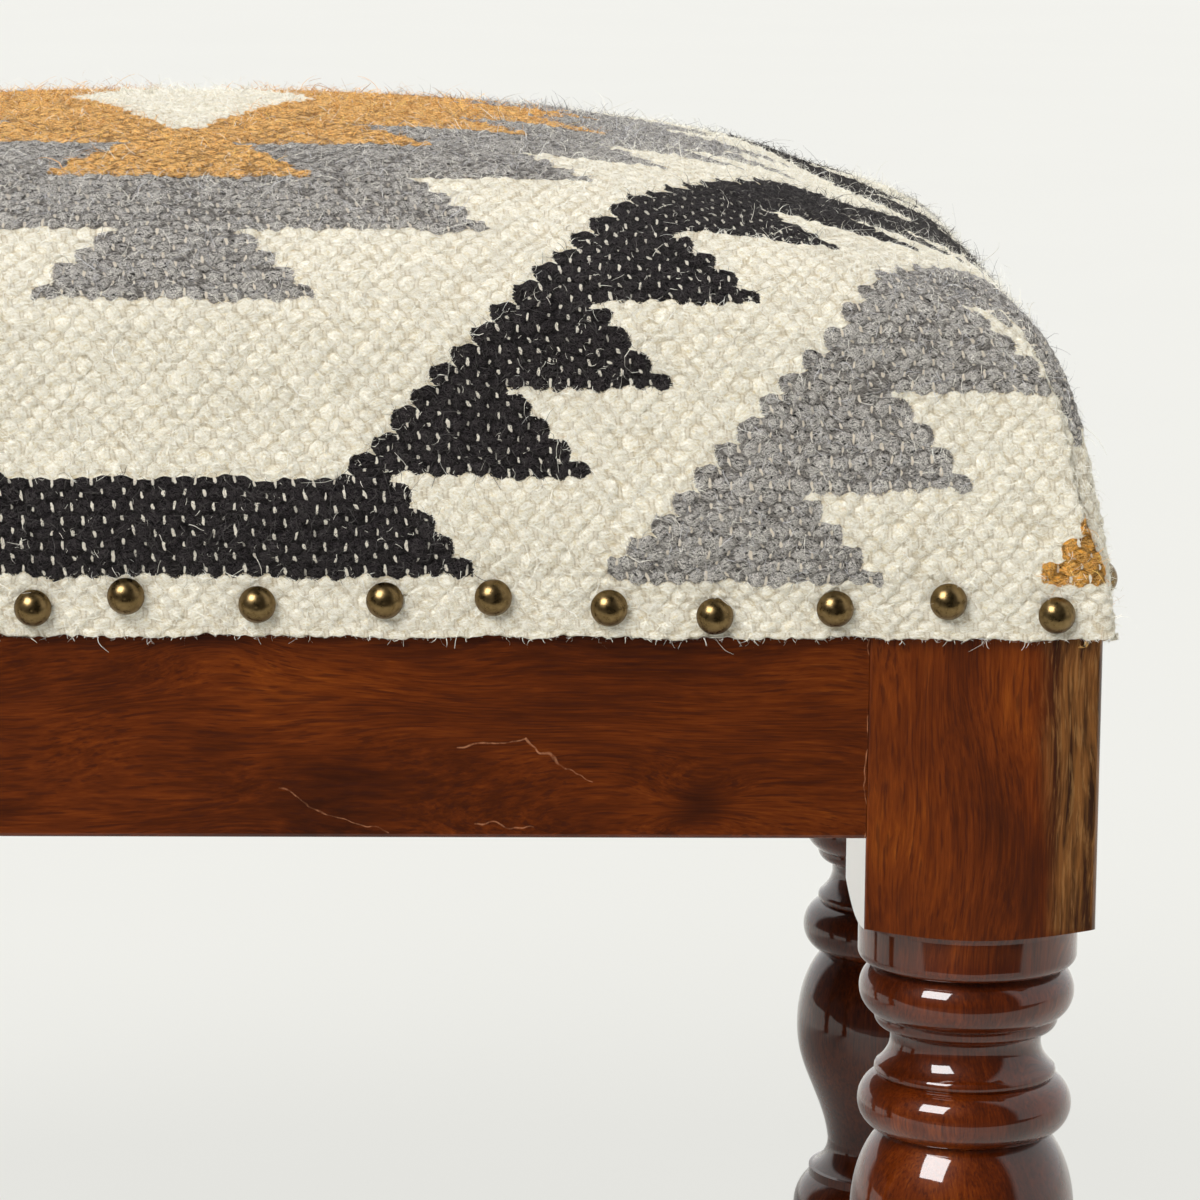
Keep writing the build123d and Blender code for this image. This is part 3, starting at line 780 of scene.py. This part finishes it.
# Padding under the cover, which nothing shows: crowned closed forms a little inside it.
def crowned_form(name, inset, bottom):
    """A closed crowned pad: level lines drawn in by an inset, from the bottom height up."""
    start = float(np.interp(bottom, LEVEL_Z, T))
    rings, around = [], 96
    spread = np.r_[np.linspace(start, 12.5, 40), np.linspace(12.7, 14.4, 6)]
    for t in spread:
        a, b, r, z = (float(value) for value in level(t, LEVEL_X, LEVEL_Y, LEVEL_R, LEVEL_Z))
        a, b = max(a - inset, 2.0), max(b - inset, 1.5)
        r = min(max(r - inset, 1.2), a, b)
        rings.append(rounded_ring(a, b, r, z - inset * (z - HEM) / RISE, around))
    points = np.concatenate(rings)
    count = len(rings)
    index = np.arange(count * around).reshape(count, around)
    onward = np.roll(index, -1, 1)
    faces = np.stack([index[:-1], onward[:-1], onward[1:], index[1:]], -1).reshape(-1, 4).tolist()
    faces.append(index[0][::-1].tolist())
    faces.append(index[-1].tolist())
    mesh = bpy.data.meshes.new(name)
    mesh.from_pydata((points * MM).tolist(), [], faces)
    mesh.polygons.foreach_set("use_smooth", [True] * len(mesh.polygons))
    return add_piece(name, mesh)


def rounded_ring(a, b, r, z, around):
    """Points round a rectangle with rounded corners."""
    corners = ((1, -1), (1, 1), (-1, 1), (-1, -1))
    points = []
    for k, (sx, sy) in enumerate(corners):
        for share in np.linspace(0, 1, around // 8):
            angle = math.pi / 2 * (k - 1 + share)
            points.append((sx * (a - r) + r * math.cos(angle), sy * (b - r) + r * math.sin(angle)))
    points = np.array(points + points[:1])
    lengths = np.r_[0, np.cumsum(np.linalg.norm(np.diff(points, axis=0), axis=1))]
    at = np.linspace(0, lengths[-1], around, endpoint=False)
    x, y = (np.interp(at, lengths, points[:, axis]) for axis in (0, 1))
    return np.stack([x, y, np.full(around, z)], -1)


# Materials.
def wire_math(operation, swapped=False):
    """A method that makes a math node of a wire and, where the operation takes one, another value."""

    def method(self, other=0.0):
        values = (other, self) if swapped else (self, other)
        return self.owner.math(operation, *values)

    return method


class Wire:
    """A value that runs between a material's nodes. Sums and products of wires make math nodes."""

    def __init__(self, owner, socket):
        self.owner = owner
        self.socket = socket

    __add__, __radd__ = wire_math("ADD"), wire_math("ADD", True)
    __sub__, __rsub__ = wire_math("SUBTRACT"), wire_math("SUBTRACT", True)
    __mul__, __truediv__ = wire_math("MULTIPLY"), wire_math("DIVIDE")
    __pow__, __abs__ = wire_math("POWER"), wire_math("ABSOLUTE")


class Nodes:
    """Short calls for one material's node tree. What they give is a wire from the new node."""

    def __init__(self, name):
        self.material = bpy.data.materials.new(name)
        self.material.use_nodes = True
        self.tree = self.material.node_tree
        self.tree.nodes.clear()
        self.shader = self.add("ShaderNodeBsdfPrincipled")
        self.add("ShaderNodeOutputMaterial", Wire(self, self.shader.outputs[0]))

    def put(self, target, value):
        """Set a socket to a number or a colour, or link a wire to it."""
        if isinstance(value, Wire):
            self.tree.links.new(value.socket, target)
        elif hasattr(value, "__len__") and len(value) == 3 and target.type == "RGBA":
            target.default_value = (*value, 1)
        else:
            target.default_value = value

    def add(self, kind, *values, **facts):
        """A new node, with the values put into its first sockets."""
        node = self.tree.nodes.new(kind)
        for key, value in facts.items():
            setattr(node, key, value)
        for socket, value in zip(node.inputs, values):
            self.put(socket, value)
        return node

    def read(self, kind, output, *values, **facts):
        """One output of a new node."""
        return Wire(self, self.add(kind, *values, **facts).outputs[output])

    def attribute(self, name, output):
        return self.read("ShaderNodeAttribute", output, attribute_name=name)

    def place(self):
        return self.read("ShaderNodeTexCoord", "Object")

    def math(self, operation, a, b=0.0, clamp=False):
        return self.read("ShaderNodeMath", 0, a, b, operation=operation, use_clamp=clamp)

    def largest(self, first, *others):
        for other in others:
            first = self.math("MAXIMUM", first, other)
        return first

    def parts(self, vector):
        node = self.add("ShaderNodeSeparateXYZ", vector)
        return [Wire(self, output) for output in node.outputs]

    def vector(self, x, y, z):
        return self.read("ShaderNodeCombineXYZ", 0, x, y, z)

    def scaled(self, vector, scale, shift=(0, 0, 0)):
        return self.read("ShaderNodeMapping", 0, vector, shift, (0, 0, 0), scale)

    def noise(self, vector, scale=1.0, detail=3.0, roughness=0.5, distortion=0.0):
        node = self.add("ShaderNodeTexNoise", vector)
        node.inputs["Scale"].default_value = scale
        node.inputs["Detail"].default_value = detail
        node.inputs["Roughness"].default_value = roughness
        node.inputs["Distortion"].default_value = distortion
        return Wire(self, node.outputs["Fac"])

    def speckle(self, scale, detail, roughness=0.5):
        """Noise that is fixed to the piece, as fine as the three scales say."""
        return self.noise(self.scaled(self.place(), scale), 1.0, detail, roughness)

    def chance(self, x, y, z):
        """A random number from 0 to 1 for each place."""
        place = self.vector(x, y, z)
        return self.read("ShaderNodeTexWhiteNoise", "Value", place, noise_dimensions="3D")

    def span(self, value, low, high, to_low=0.0, to_high=1.0, smooth_step=False):
        """The value from low to high taken to another span, and held at its ends."""
        kind = "SMOOTHSTEP" if smooth_step else "LINEAR"
        return self.read("ShaderNodeMapRange", 0, value, low, high, to_low, to_high, interpolation_type=kind)

    def mix(self, share, a, b, blend="MIX"):
        node = self.add("ShaderNodeMix", share, data_type="RGBA", blend_type=blend)
        self.put(node.inputs[6], a)
        self.put(node.inputs[7], b)
        return Wire(self, node.outputs[2])

    def shaded(self, colour, shade):
        """A colour times another colour, or times a number."""
        if isinstance(shade, Wire):
            shade = self.vector(shade, shade, shade)
        return self.mix(1.0, colour, shade, "MULTIPLY")

    def ramp(self, value, stops):
        node = self.add("ShaderNodeValToRGB", value)
        elements = node.color_ramp.elements
        while len(elements) < len(stops):
            elements.new(0.5)
        for element, (at, colour) in zip(elements, stops):
            element.position = at
            element.color = (*colour, 1)
        return Wire(self, node.outputs[0])

    def bump(self, height, strength, distance):
        node = self.add("ShaderNodeBump")
        node.inputs["Strength"].default_value = strength
        node.inputs["Distance"].default_value = distance
        self.put(node.inputs["Height"], height)
        return Wire(self, node.outputs[0])

    def finish(self, **sockets):
        """Set the shader's sockets, named with underscores, and give the material."""
        for name, value in sockets.items():
            self.put(self.shader.inputs[name.replace("_", " ")], value)
        return self.material


# Each yarn's wool: its dark tone, its light tone, the tone of its fine hairs and how much they show.
DYES = {
    "cream": ((220, 209, 180), (255, 252, 240), (255, 254, 248), 0.6),
    "grey": ((26, 25, 26), (170, 166, 162), (248, 244, 236), 0.85),
    "corner ochre": ((104, 60, 8), (232, 164, 70), (250, 212, 136), 0.65),
    "crown ochre": ((150, 92, 28), (252, 196, 116), (254, 228, 172), 0.6),
    "black": ((4, 3, 4), (33, 29, 32), (104, 98, 98), 0.45),
}
# Colours multiplied into the wool as painted shade in its crevices, tan in pale wool.
TAN_CREVICE_SHADE, DARK_CREVICE_SHADE = srgb(218, 206, 184), srgb(140, 136, 134)
# Plant flecks, stray dyed fibre, and the tan painted shade at the sides of the warps.
PLANT_FLECK, STRAY_DYE, WARP_SIDE_SHADE = srgb(204, 170, 126), srgb(74, 40, 38), srgb(190, 174, 146)
WARP_IN_CREAM, WARP_IN_GREY, WARP_IN_DARK = srgb(234, 226, 208), srgb(222, 212, 196), srgb(232, 226, 212)
FIBRE_WANDER = 2.2
HAIR_LINE = 0.022
FRAY = 5.5
MASK_EDGE = 0.14


def fibre(n, along, over, lean, stretch, fine, seed):
    """Noise drawn out into fibres that lean to one side and wander."""
    wander = n.noise(n.vector(along * 0.22, over * 0.3, seed), 1.0, 2.0)
    length = along + over * lean
    width = over - along * lean + (wander - 0.5) * FIBRE_WANDER
    return n.noise(n.vector(length * stretch, width * fine, seed), 1.0, 3.0, 0.7)


def hair_lines(n, value):
    """Thin lines where a noise passes its middle."""
    return n.span(abs(value - 0.5), HAIR_LINE * 0.3, HAIR_LINE, 1.0, 0.0, True)


def wool_fibres(n, along, over):
    """Fibres that run along the weft, some slanting with the yarn's twist: their blend, flecks and hairs."""
    strand = fibre(n, along, over, 0.25, 0.34, 1.45, 0.0)
    twist = fibre(n, along, over, -0.7, 0.40, 1.35, 4.0)
    fleck = n.noise(n.vector(along * 1.3, over * 2.6, 7.0), 1.0, 3.0, 0.65, 0.6)
    blend = strand * 0.4 + twist * 0.3 + fleck * 0.3
    return blend, fleck, n.largest(hair_lines(n, strand), hair_lines(n, twist))


def warp_thread(n, p, q, row, half, fleck, from_hem):
    """The warp between two knobs of a pick, a short upright thread, and the painted shade beside it."""
    share = q - row - 0.5
    off = n.math("FRACT", half) * 2.0 - 1.0
    chance = n.chance(n.math("ROUND", p - off), row, 3.0)
    wobble = n.noise(n.vector(p, q, 0.0), 2.3, 2.0) - 0.5
    lean = share * 0.1 + wobble * 0.3
    off_wide = abs((off + lean) / n.span(chance, 0.0, 1.0, 0.12, 0.17))
    off_tall = abs((share + wobble * 0.4) / n.span(chance, 0.0, 1.0, 0.36, 0.52))
    outline = off_wide**2.0 + off_tall**2.4 + (fleck - 0.5) * 1.1
    # Warps beside a change of yarn and those near the crown hardly show.
    seen = n.span(chance, 0.0, 0.2, 0.4, 1.0) * n.span(n.attribute("edge", "Fac"), 1.6, 3.0)
    seen = seen * n.span(from_hem, 38.0, 50.0, 1.0, 0.1)
    thread = n.span(outline, 0.7, 1.2, 1.0, 0.0, True) * seen
    beside = n.span(abs(off_wide - 1.35), 0.2, 0.75, 1.0, 0.0) * n.span(off_tall, 0.8, 1.3, 1.0, 0.0)
    return thread, beside


def wool_material():
    """Thick hand-spun wool: yarn colour, pale warp threads between the knobs, loose fibres, and painted
    shade in the crevices and beside the warps.
    """
    n = Nodes("kilim_wool")
    p, q, relief = n.parts(n.attribute("weave", "Vector"))
    margins = n.parts(n.attribute("areas", "Vector"))
    row = n.math("FLOOR", q + 1e-4)
    along, over = p * WARP, q * PICK
    blend, fleck, lines = wool_fibres(n, along, over)
    spread = n.span(blend, 0.42, 0.58)
    fray = (blend - 0.5) * FRAY
    black, grey, ochre = (n.span(margin + fray, -MASK_EDGE, MASK_EDGE, 0.0, 1.0, True) for margin in margins)
    pale = 1.0 - n.largest(black, grey, ochre)

    def dyed(name):
        low, high, line, line_share = DYES[name]
        return n.mix(lines * line_share, n.mix(spread, srgb(*low), srgb(*high)), srgb(*line))

    wool = n.mix(grey, dyed("cream"), dyed("grey"))
    from_hem = n.math("MINIMUM", q, 2.0 * HALF_PICKS - q)
    wool = n.mix(ochre, wool, n.mix(n.span(from_hem, 16.0, 40.0), dyed("corner ochre"), dyed("crown ochre")))
    wool = n.mix(black, wool, dyed("black"))
    # Each knob is a little lighter or darker than the next.
    half = (p - row) * 0.5
    tone = n.chance(row + n.math("ROUND", half) * 2.0, row, 5.0)
    wool = n.shaded(wool, n.span(tone, 0.0, 1.0, 0.92, 1.04))
    # Painted shade in the crevices: tan in pale wool, darker and wider in the rest.
    deep = relief + (blend - 0.5) * 1.6
    crevice_shade = n.mix(
        pale, n.span(deep, -0.45, 0.05, 1.0, 0.0, True), n.span(deep, -0.5, -0.16, 1.0, 0.0, True)
    )
    low = n.mix(pale, n.shaded(wool, DARK_CREVICE_SHADE), n.shaded(wool, TAN_CREVICE_SHADE))
    wool = n.mix(crevice_shade * n.span(pale, 0.0, 1.0, 0.75, 0.45), wool, low)
    # Flecks of plant matter, stray dyed fibre, and dark threads where grey meets cream.
    speck = n.noise(n.vector(along * 0.5, over * 0.8, 19.0), 0.8, 2.0, 0.5)
    wool = n.mix(n.span(speck, 0.70, 0.76) * (pale * 0.4), wool, PLANT_FLECK)
    joint = n.span(abs(margins[1] + 0.3), 0.2, 1.1, 1.0, 0.0) * n.span(tone, 0.62, 0.70)
    wool = n.mix(joint * (lines * 0.7), wool, STRAY_DYE)
    thread, beside = warp_thread(n, p, q, row, half, fleck, from_hem)
    # Painted shade at both sides of each warp, in pale wool only.
    wool = n.mix(beside * (pale * 0.5), wool, WARP_SIDE_SHADE)
    thread_colour = n.mix(pale, n.mix(grey, WARP_IN_DARK, WARP_IN_GREY), WARP_IN_CREAM)
    colour = n.mix(thread * n.span(pale, 0.0, 1.0, 1.0, 0.6), wool, thread_colour)
    lump = n.noise(n.vector(along * 0.45, over * 0.6, 3.0), 1.0, 2.0, 0.5)
    height = blend * 1.1 + lines * 0.12 + (lump * 0.8 + thread * 0.4)
    return n.finish(
        Base_Color=colour, Roughness=0.95, Normal=n.bump(height, 0.8, 0.0011), Specular_IOR_Level=0.05,
        Sheen_Weight=0.05, Sheen_Roughness=0.5,
    )


def stray_material():
    """The loose hairs: each in its yarn's colour, a little paler in streaks."""
    n = Nodes("stray_wool")
    streak = n.speckle((900, 900, 900), 2.0)
    yarn = n.attribute("yarn_colour", "Color")
    colour = n.mix(n.span(streak, 0.3, 0.7, 0.0, 0.12), yarn, srgb(225, 220, 208))
    return n.finish(Base_Color=colour, Roughness=0.8, Specular_IOR_Level=0.2)


# The wood's tones by how light its grain is there, and where the painted shade, streaked with painted glare,
# starts on the right-hand blocks' outer edge.
WOOD_TONES = (
    (0.36, srgb(50, 17, 1)),
    (0.44, srgb(68, 25, 1)),
    (0.51, srgb(86, 34, 2)),
    (0.57, srgb(102, 44, 4)),
    (0.66, srgb(128, 64, 10)),
)
TURNED_TOP = 0.19
BLOCK_LOW = 0.196
EDGE_SHADE_FROM, EDGE_SHADE_TO = 0.279, 0.287
EDGE_SHADE_SHARE = 0.75


def line_distance(n, x, z, start, end):
    """How far a place of the front is from a straight line between two points."""
    run_x, run_z = end[0] - start[0], end[1] - start[1]
    off_x, off_z = x - start[0], z - start[1]
    ahead = n.math("DIVIDE", off_x * run_x + off_z * run_z, run_x**2 + run_z**2, clamp=True)
    off_x = off_x - ahead * run_x
    off_z = off_z - ahead * run_z
    return (off_x * off_x + off_z * off_z) ** 0.5


def leg_wood_tone(n, wood, x, z, broad, streak, fine):
    """The turned part is darker. A painted shade streaked with painted glare runs down the outer edge of the
    right-hand blocks.
    """
    turned = n.span(z, TURNED_TOP - 0.005, TURNED_TOP, 1.0, 0.0)
    wood = n.mix(turned, wood, n.shaded(wood, srgb(230, 216, 186)))
    # Painted shade of the edge turned from the light, with pale streaks of painted glare.
    edge = x + (broad - 0.5) * 0.02
    band = n.span(edge, EDGE_SHADE_FROM, EDGE_SHADE_TO, 0.0, 1.0, True) * n.span(z, BLOCK_LOW, BLOCK_LOW + 0.004)
    edge_shade = n.mix(n.span(streak, 0.4, 0.6), srgb(40, 25, 12), srgb(122, 80, 38))
    edge_shade = n.mix(n.span(fine, 0.52, 0.64, 0.0, 0.5), edge_shade, srgb(150, 112, 66))
    return n.mix(band * EDGE_SHADE_SHARE, wood, edge_shade)


def cracked(n, wood, x, z, cracks):
    """Thin pale broken lines of cracked varnish."""
    broken = n.speckle((260, 260, 260), 3.0, 0.7)
    shaken = n.speckle((90, 90, 90), 2.0)
    wander = (shaken - 0.5) * 0.006
    for start, end in cracks:
        away = line_distance(n, x + wander, z + wander, start, end)
        seen = n.span(away, 0.0001, 0.0003, 1.0, 0.0) * n.span(broken, 0.4, 0.6, 0.08, 0.5)
        wood = n.mix(seen, wood, srgb(186, 128, 92))
    return wood


def wood_material(name, grain, coat, knots=(), cracks=()):
    """Red-brown hardwood under clear varnish. The grain runs along one axis and bends round knots."""
    n = Nodes(name)
    x, y, z = n.parts(n.place())
    board = n.vector(*{"x": (x, y, z), "y": (y, x, z), "z": (z, x, y)}[grain])
    drift = (n.noise(n.scaled(board, (5, 14, 14)), 1.0, 2.0) - 0.5) * 0.06
    dark_spots = 0.0
    for knot_x, knot_z, size in knots:
        off_x, off_z = x - knot_x, z - knot_z
        near = n.math("POWER", math.e, (off_x**2.0 * 0.45 + off_z**2.0) / -(size**2))
        drift = drift + off_z * near * 1.1
        dark_spots = near**3.0 + dark_spots
    along, one, two = n.parts(board)
    figure = n.vector(along, one + drift, two + drift)
    broad = n.noise(n.scaled(figure, (9, 22, 22), (0.3, 0.1, 0.7)), 1.0, 3.0, 0.55)
    streak = n.noise(n.scaled(figure, (22, 330, 330), (1.3, 4.1, 2.7)), 1.0, 4.0, 0.65)
    fine = n.noise(n.scaled(figure, (70, 1000, 1000)), 1.0, 3.0, 0.65)
    pores = n.noise(n.scaled(figure, (60, 950, 950), (5, 5, 5)), 1.0, 2.0, 0.5)
    wood = n.ramp(broad * 0.52 + streak * 0.2 + fine * 0.28 - dark_spots * 0.16, WOOD_TONES)
    wood = n.mix(n.span(pores, 0.56, 0.64, 0.0, 0.5), wood, srgb(46, 16, 5))
    if knots:
        wood = n.shaded(wood, n.span(x, -0.05, 0.22, 1.04, 0.84))
    if grain == "z":
        wood = leg_wood_tone(n, wood, x, z, broad, streak, fine)
    if cracks:
        wood = cracked(n, wood, x, z, cracks)
    return n.finish(
        Base_Color=wood, Roughness=n.span(streak, 0.3, 0.7, 0.34, 0.46), Normal=n.bump(fine, 0.12, 0.0003),
        Specular_IOR_Level=0.06, Coat_Weight=coat, Coat_Roughness=0.045, Coat_IOR=1.5,
    )


def brass_material():
    """Antique brass: dark patina, brighter where it was rubbed."""
    n = Nodes("antique_brass")
    spot = n.speckle((420, 420, 420), 4.0, 0.6)
    colour = n.mix(n.span(spot, 0.35, 0.65), srgb(98, 80, 50), srgb(128, 107, 72))
    rough = n.span(spot, 0.3, 0.7, 0.24, 0.34)
    return n.finish(Base_Color=colour, Metallic=1.0, Roughness=rough)


def plain_material(name, dark, light, scale, roughness, **more):
    """A finish of two near tones in a fine even texture."""
    n = Nodes(name)
    grain = n.speckle(scale, 4.0, 0.6)
    colour = n.mix(n.span(grain, 0.35, 0.65), srgb(*dark), srgb(*light))
    return n.finish(Base_Color=colour, Roughness=roughness, Normal=n.bump(grain, 0.2, 0.0004), **more)


def dress(material, *names):
    """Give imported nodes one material."""
    for name in names:
        slots = nodes[name].material_slots
        if not slots:
            nodes[name].data.materials.append(material)
        for one in slots:
            one.material = material


# The share of the floor's colour that the camera sees whatever falls on it, so shadows are faint.
FLOOR_GLOW = 0.87
FLOOR_HALF = 30.0
# In front of this line the varnish mirrors a dark room, not the pale floor.
PAPER_FRONT = -0.62
LIGHT_FROM = Vector((-1.6, -2.0, 2.4))
OPEN_SIDE = (0.59, 0.81, 0.0)
ROOM_DARK, ROOM_BRIGHT = 0.07, 1.1


def studio_floor():
    """A pale floor without an end."""
    mesh = bpy.data.meshes.new("floor")
    corners = [(x * FLOOR_HALF, y * FLOOR_HALF, 0) for x, y in ((-1, -1), (1, -1), (1, 1), (-1, 1))]
    mesh.from_pydata(corners, [], [(0, 1, 2, 3)])
    floor = add_piece("floor", mesh)
    n = Nodes("floor_paint")
    paper = n.speckle((3, 3, 3), 2.0)
    pale = n.mix(paper, srgb(225, 225, 220), srgb(227, 227, 222))
    in_front = n.span(n.parts(n.place())[1], PAPER_FRONT - 0.02, PAPER_FRONT + 0.02, 1.0, 0.0)
    seen = n.read("ShaderNodeLightPath", "Is Camera Ray") * FLOOR_GLOW
    colour = n.mix(n.read("ShaderNodeLightPath", "Is Glossy Ray") * in_front, pale, srgb(52, 50, 48))
    colour = n.mix(seen, colour, (0.0, 0.0, 0.0))
    n.finish(Base_Color=colour, Roughness=0.7, Emission_Color=pale, Emission_Strength=seen)
    mesh.materials.append(n.material)


def studio_room():
    """A room that is bright towards its open side and dark in front."""
    world = bpy.data.worlds.new("studio")
    bpy.context.scene.world = world
    world.use_nodes = True
    tree = world.node_tree
    tree.nodes.clear()
    direction, toward, strength, ground, output = (
        tree.nodes.new(f"ShaderNode{kind}")
        for kind in ("TexCoord", "VectorMath", "MapRange", "Background", "OutputWorld")
    )
    toward.operation = "DOT_PRODUCT"
    toward.inputs[1].default_value = OPEN_SIDE
    for socket, value in zip(strength.inputs[1:], (-0.06, 0.06, ROOM_DARK, ROOM_BRIGHT)):
        socket.default_value = value
    ground.inputs[0].default_value = (1.0, 0.995, 0.985, 1)
    for source, target in (
        (direction.outputs["Generated"], toward.inputs[0]),
        (toward.outputs["Value"], strength.inputs[0]),
        (strength.outputs[0], ground.inputs[1]),
        (ground.outputs[0], output.inputs[0]),
    ):
        tree.links.new(source, target)


def studio_lights():
    """A soft sun, and a softbox that only shows in the varnish."""
    sun = bpy.data.lights.new("sun", "SUN")
    sun.energy, sun.angle = 3.6, math.radians(40)
    sun.color = (1.0, 0.985, 0.96)
    softbox = bpy.data.lights.new("softbox", "AREA")
    softbox.size, softbox.energy = 1.6, 150
    for light in (sun, softbox):
        piece = add_piece(light.name, light)
        piece.location = LIGHT_FROM
        piece.rotation_euler = LIGHT_FROM.to_track_quat("Z", "Y").to_euler()
        piece.visible_glossy = light is softbox
        piece.visible_diffuse = light is sun


# Where the photograph was taken from, found from the frame's edges: place, yaw, pitch and roll, lens.
CAMERA_PLACE = (0.0732, -1.8789, 0.6143)
CAMERA_TURN = (2.118, 10.109, 0.605)
CAMERA_LENS = 162.45


def photo_camera():
    """The camera of the photograph."""
    yaw, pitch, roll = (math.radians(a) for a in CAMERA_TURN)
    right = Vector((math.cos(yaw), -math.sin(yaw), 0))
    ahead = Vector((math.sin(yaw) * math.cos(pitch), math.cos(yaw) * math.cos(pitch), -math.sin(pitch)))
    up = right.cross(ahead)
    tilted_right = math.cos(roll) * right + math.sin(roll) * up
    tilted_up = -math.sin(roll) * right + math.cos(roll) * up
    data = bpy.data.cameras.new("camera")
    data.lens, data.sensor_width = CAMERA_LENS, 36
    data.clip_start, data.clip_end = 0.05, 100
    piece = add_piece("camera", data)
    matrix = Matrix((tilted_right, tilted_up, -ahead)).transposed().to_4x4()
    matrix.translation = CAMERA_PLACE
    piece.matrix_world = matrix
    bpy.context.scene.camera = piece


def dress_cover():
    """The cover and its loose hairs, attached to the root body."""
    cover, cover_area = kilim_cover()
    cover.data.materials.append(wool_material())
    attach(cover, "root")
    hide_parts("kilim_cover")
    hair = stray_material()
    stray = [stray_wool(cover.data, **facts) for facts in (STRAY_HAIRS, SHORT_FUZZ)]
    for piece in stray:
        piece.data.materials.append(hair)
        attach(piece, "root")


def pad_the_seat():
    """The wadding and the foam under the cover."""
    foam = plain_material("foam", (214, 196, 140), (228, 212, 160), (900, 900, 900), 0.95)
    wadding = plain_material("wadding", (232, 232, 228), (243, 243, 240), (300, 300, 300), 0.98)
    for name, inset, node, material in (
        ("wadding_layer", 5.0, "wadding", wadding),
        ("foam_body", 9.0, "foam_pad", foam),
    ):
        pad = crowned_form(name, inset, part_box(node)[0].z / MM + 1.0)
        pad.data.materials.append(material)
        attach(pad, "root")
        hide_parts(node)


def dress_frame():
    """Varnished legs and rails. The front rail has the photo's knots and cracks."""
    legs = [f"leg_{side}_{end}" for side in ("front", "back") for end in ("left", "right")]
    dress(wood_material("leg_wood", "z", 1.0), *legs)
    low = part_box("rail_front")[0].z
    knots = ((0.169, low + 0.010, 0.010), (0.010, low + 0.072, 0.016))
    cracks = (
        ((0.033, low + 0.016), (0.068, low + 0.001)),
        ((0.092, low + 0.031), (0.113, low + 0.033)),
        ((0.113, low + 0.033), (0.134, low + 0.018)),
        ((0.097, low + 0.005), (0.115, low + 0.003)),
        ((0.2238, low), (0.2238, HEM * MM)),
    )
    dress(wood_material("front_rail_wood", "x", 0.6, knots, cracks), "rail_front")
    dress(wood_material("back_rail_wood", "x", 0.6), "rail_back")
    dress(wood_material("short_rail_wood", "y", 0.6), "rail_left", "rail_right")


def dress_small_parts():
    """Nails, deck, blocks, screws, dust cover and glides."""
    dress(brass_material(), *(f"nails_{side}" for side in ("front", "back", "left", "right")))
    sawn = plain_material("plain_wood", (168, 136, 96), (190, 160, 118), (20, 300, 300), 0.8)
    dress(sawn, "cross_rail", "glue_blocks")
    plywood = plain_material("plywood", (196, 166, 122), (214, 186, 144), (14, 160, 160), 0.7)
    dress(plywood, "seat_deck")
    for name, node in (("zinc_steel", "deck_screws"), ("staple_steel", "dust_cover_staples")):
        steel = plain_material(name, (150, 152, 156), (176, 178, 182), (600, 600, 600), 0.35, Metallic=1.0)
        dress(steel, node)
    dress(plain_material("dust_cloth", (20, 20, 21), (34, 34, 35), (900, 900, 900), 0.95), "dust_cover")
    nylon = plain_material("glide_nylon", (52, 40, 32), (60, 47, 38), (500, 500, 500), 0.5)
    dress(nylon, *(f"glide_{side}_{end}" for side in ("front", "back") for end in ("left", "right")))


bpy.context.scene.view_settings.view_transform = "Standard"
photo_camera()
studio_floor()
studio_room()
studio_lights()
dress_cover()
pad_the_seat()
dress_frame()
dress_small_parts()
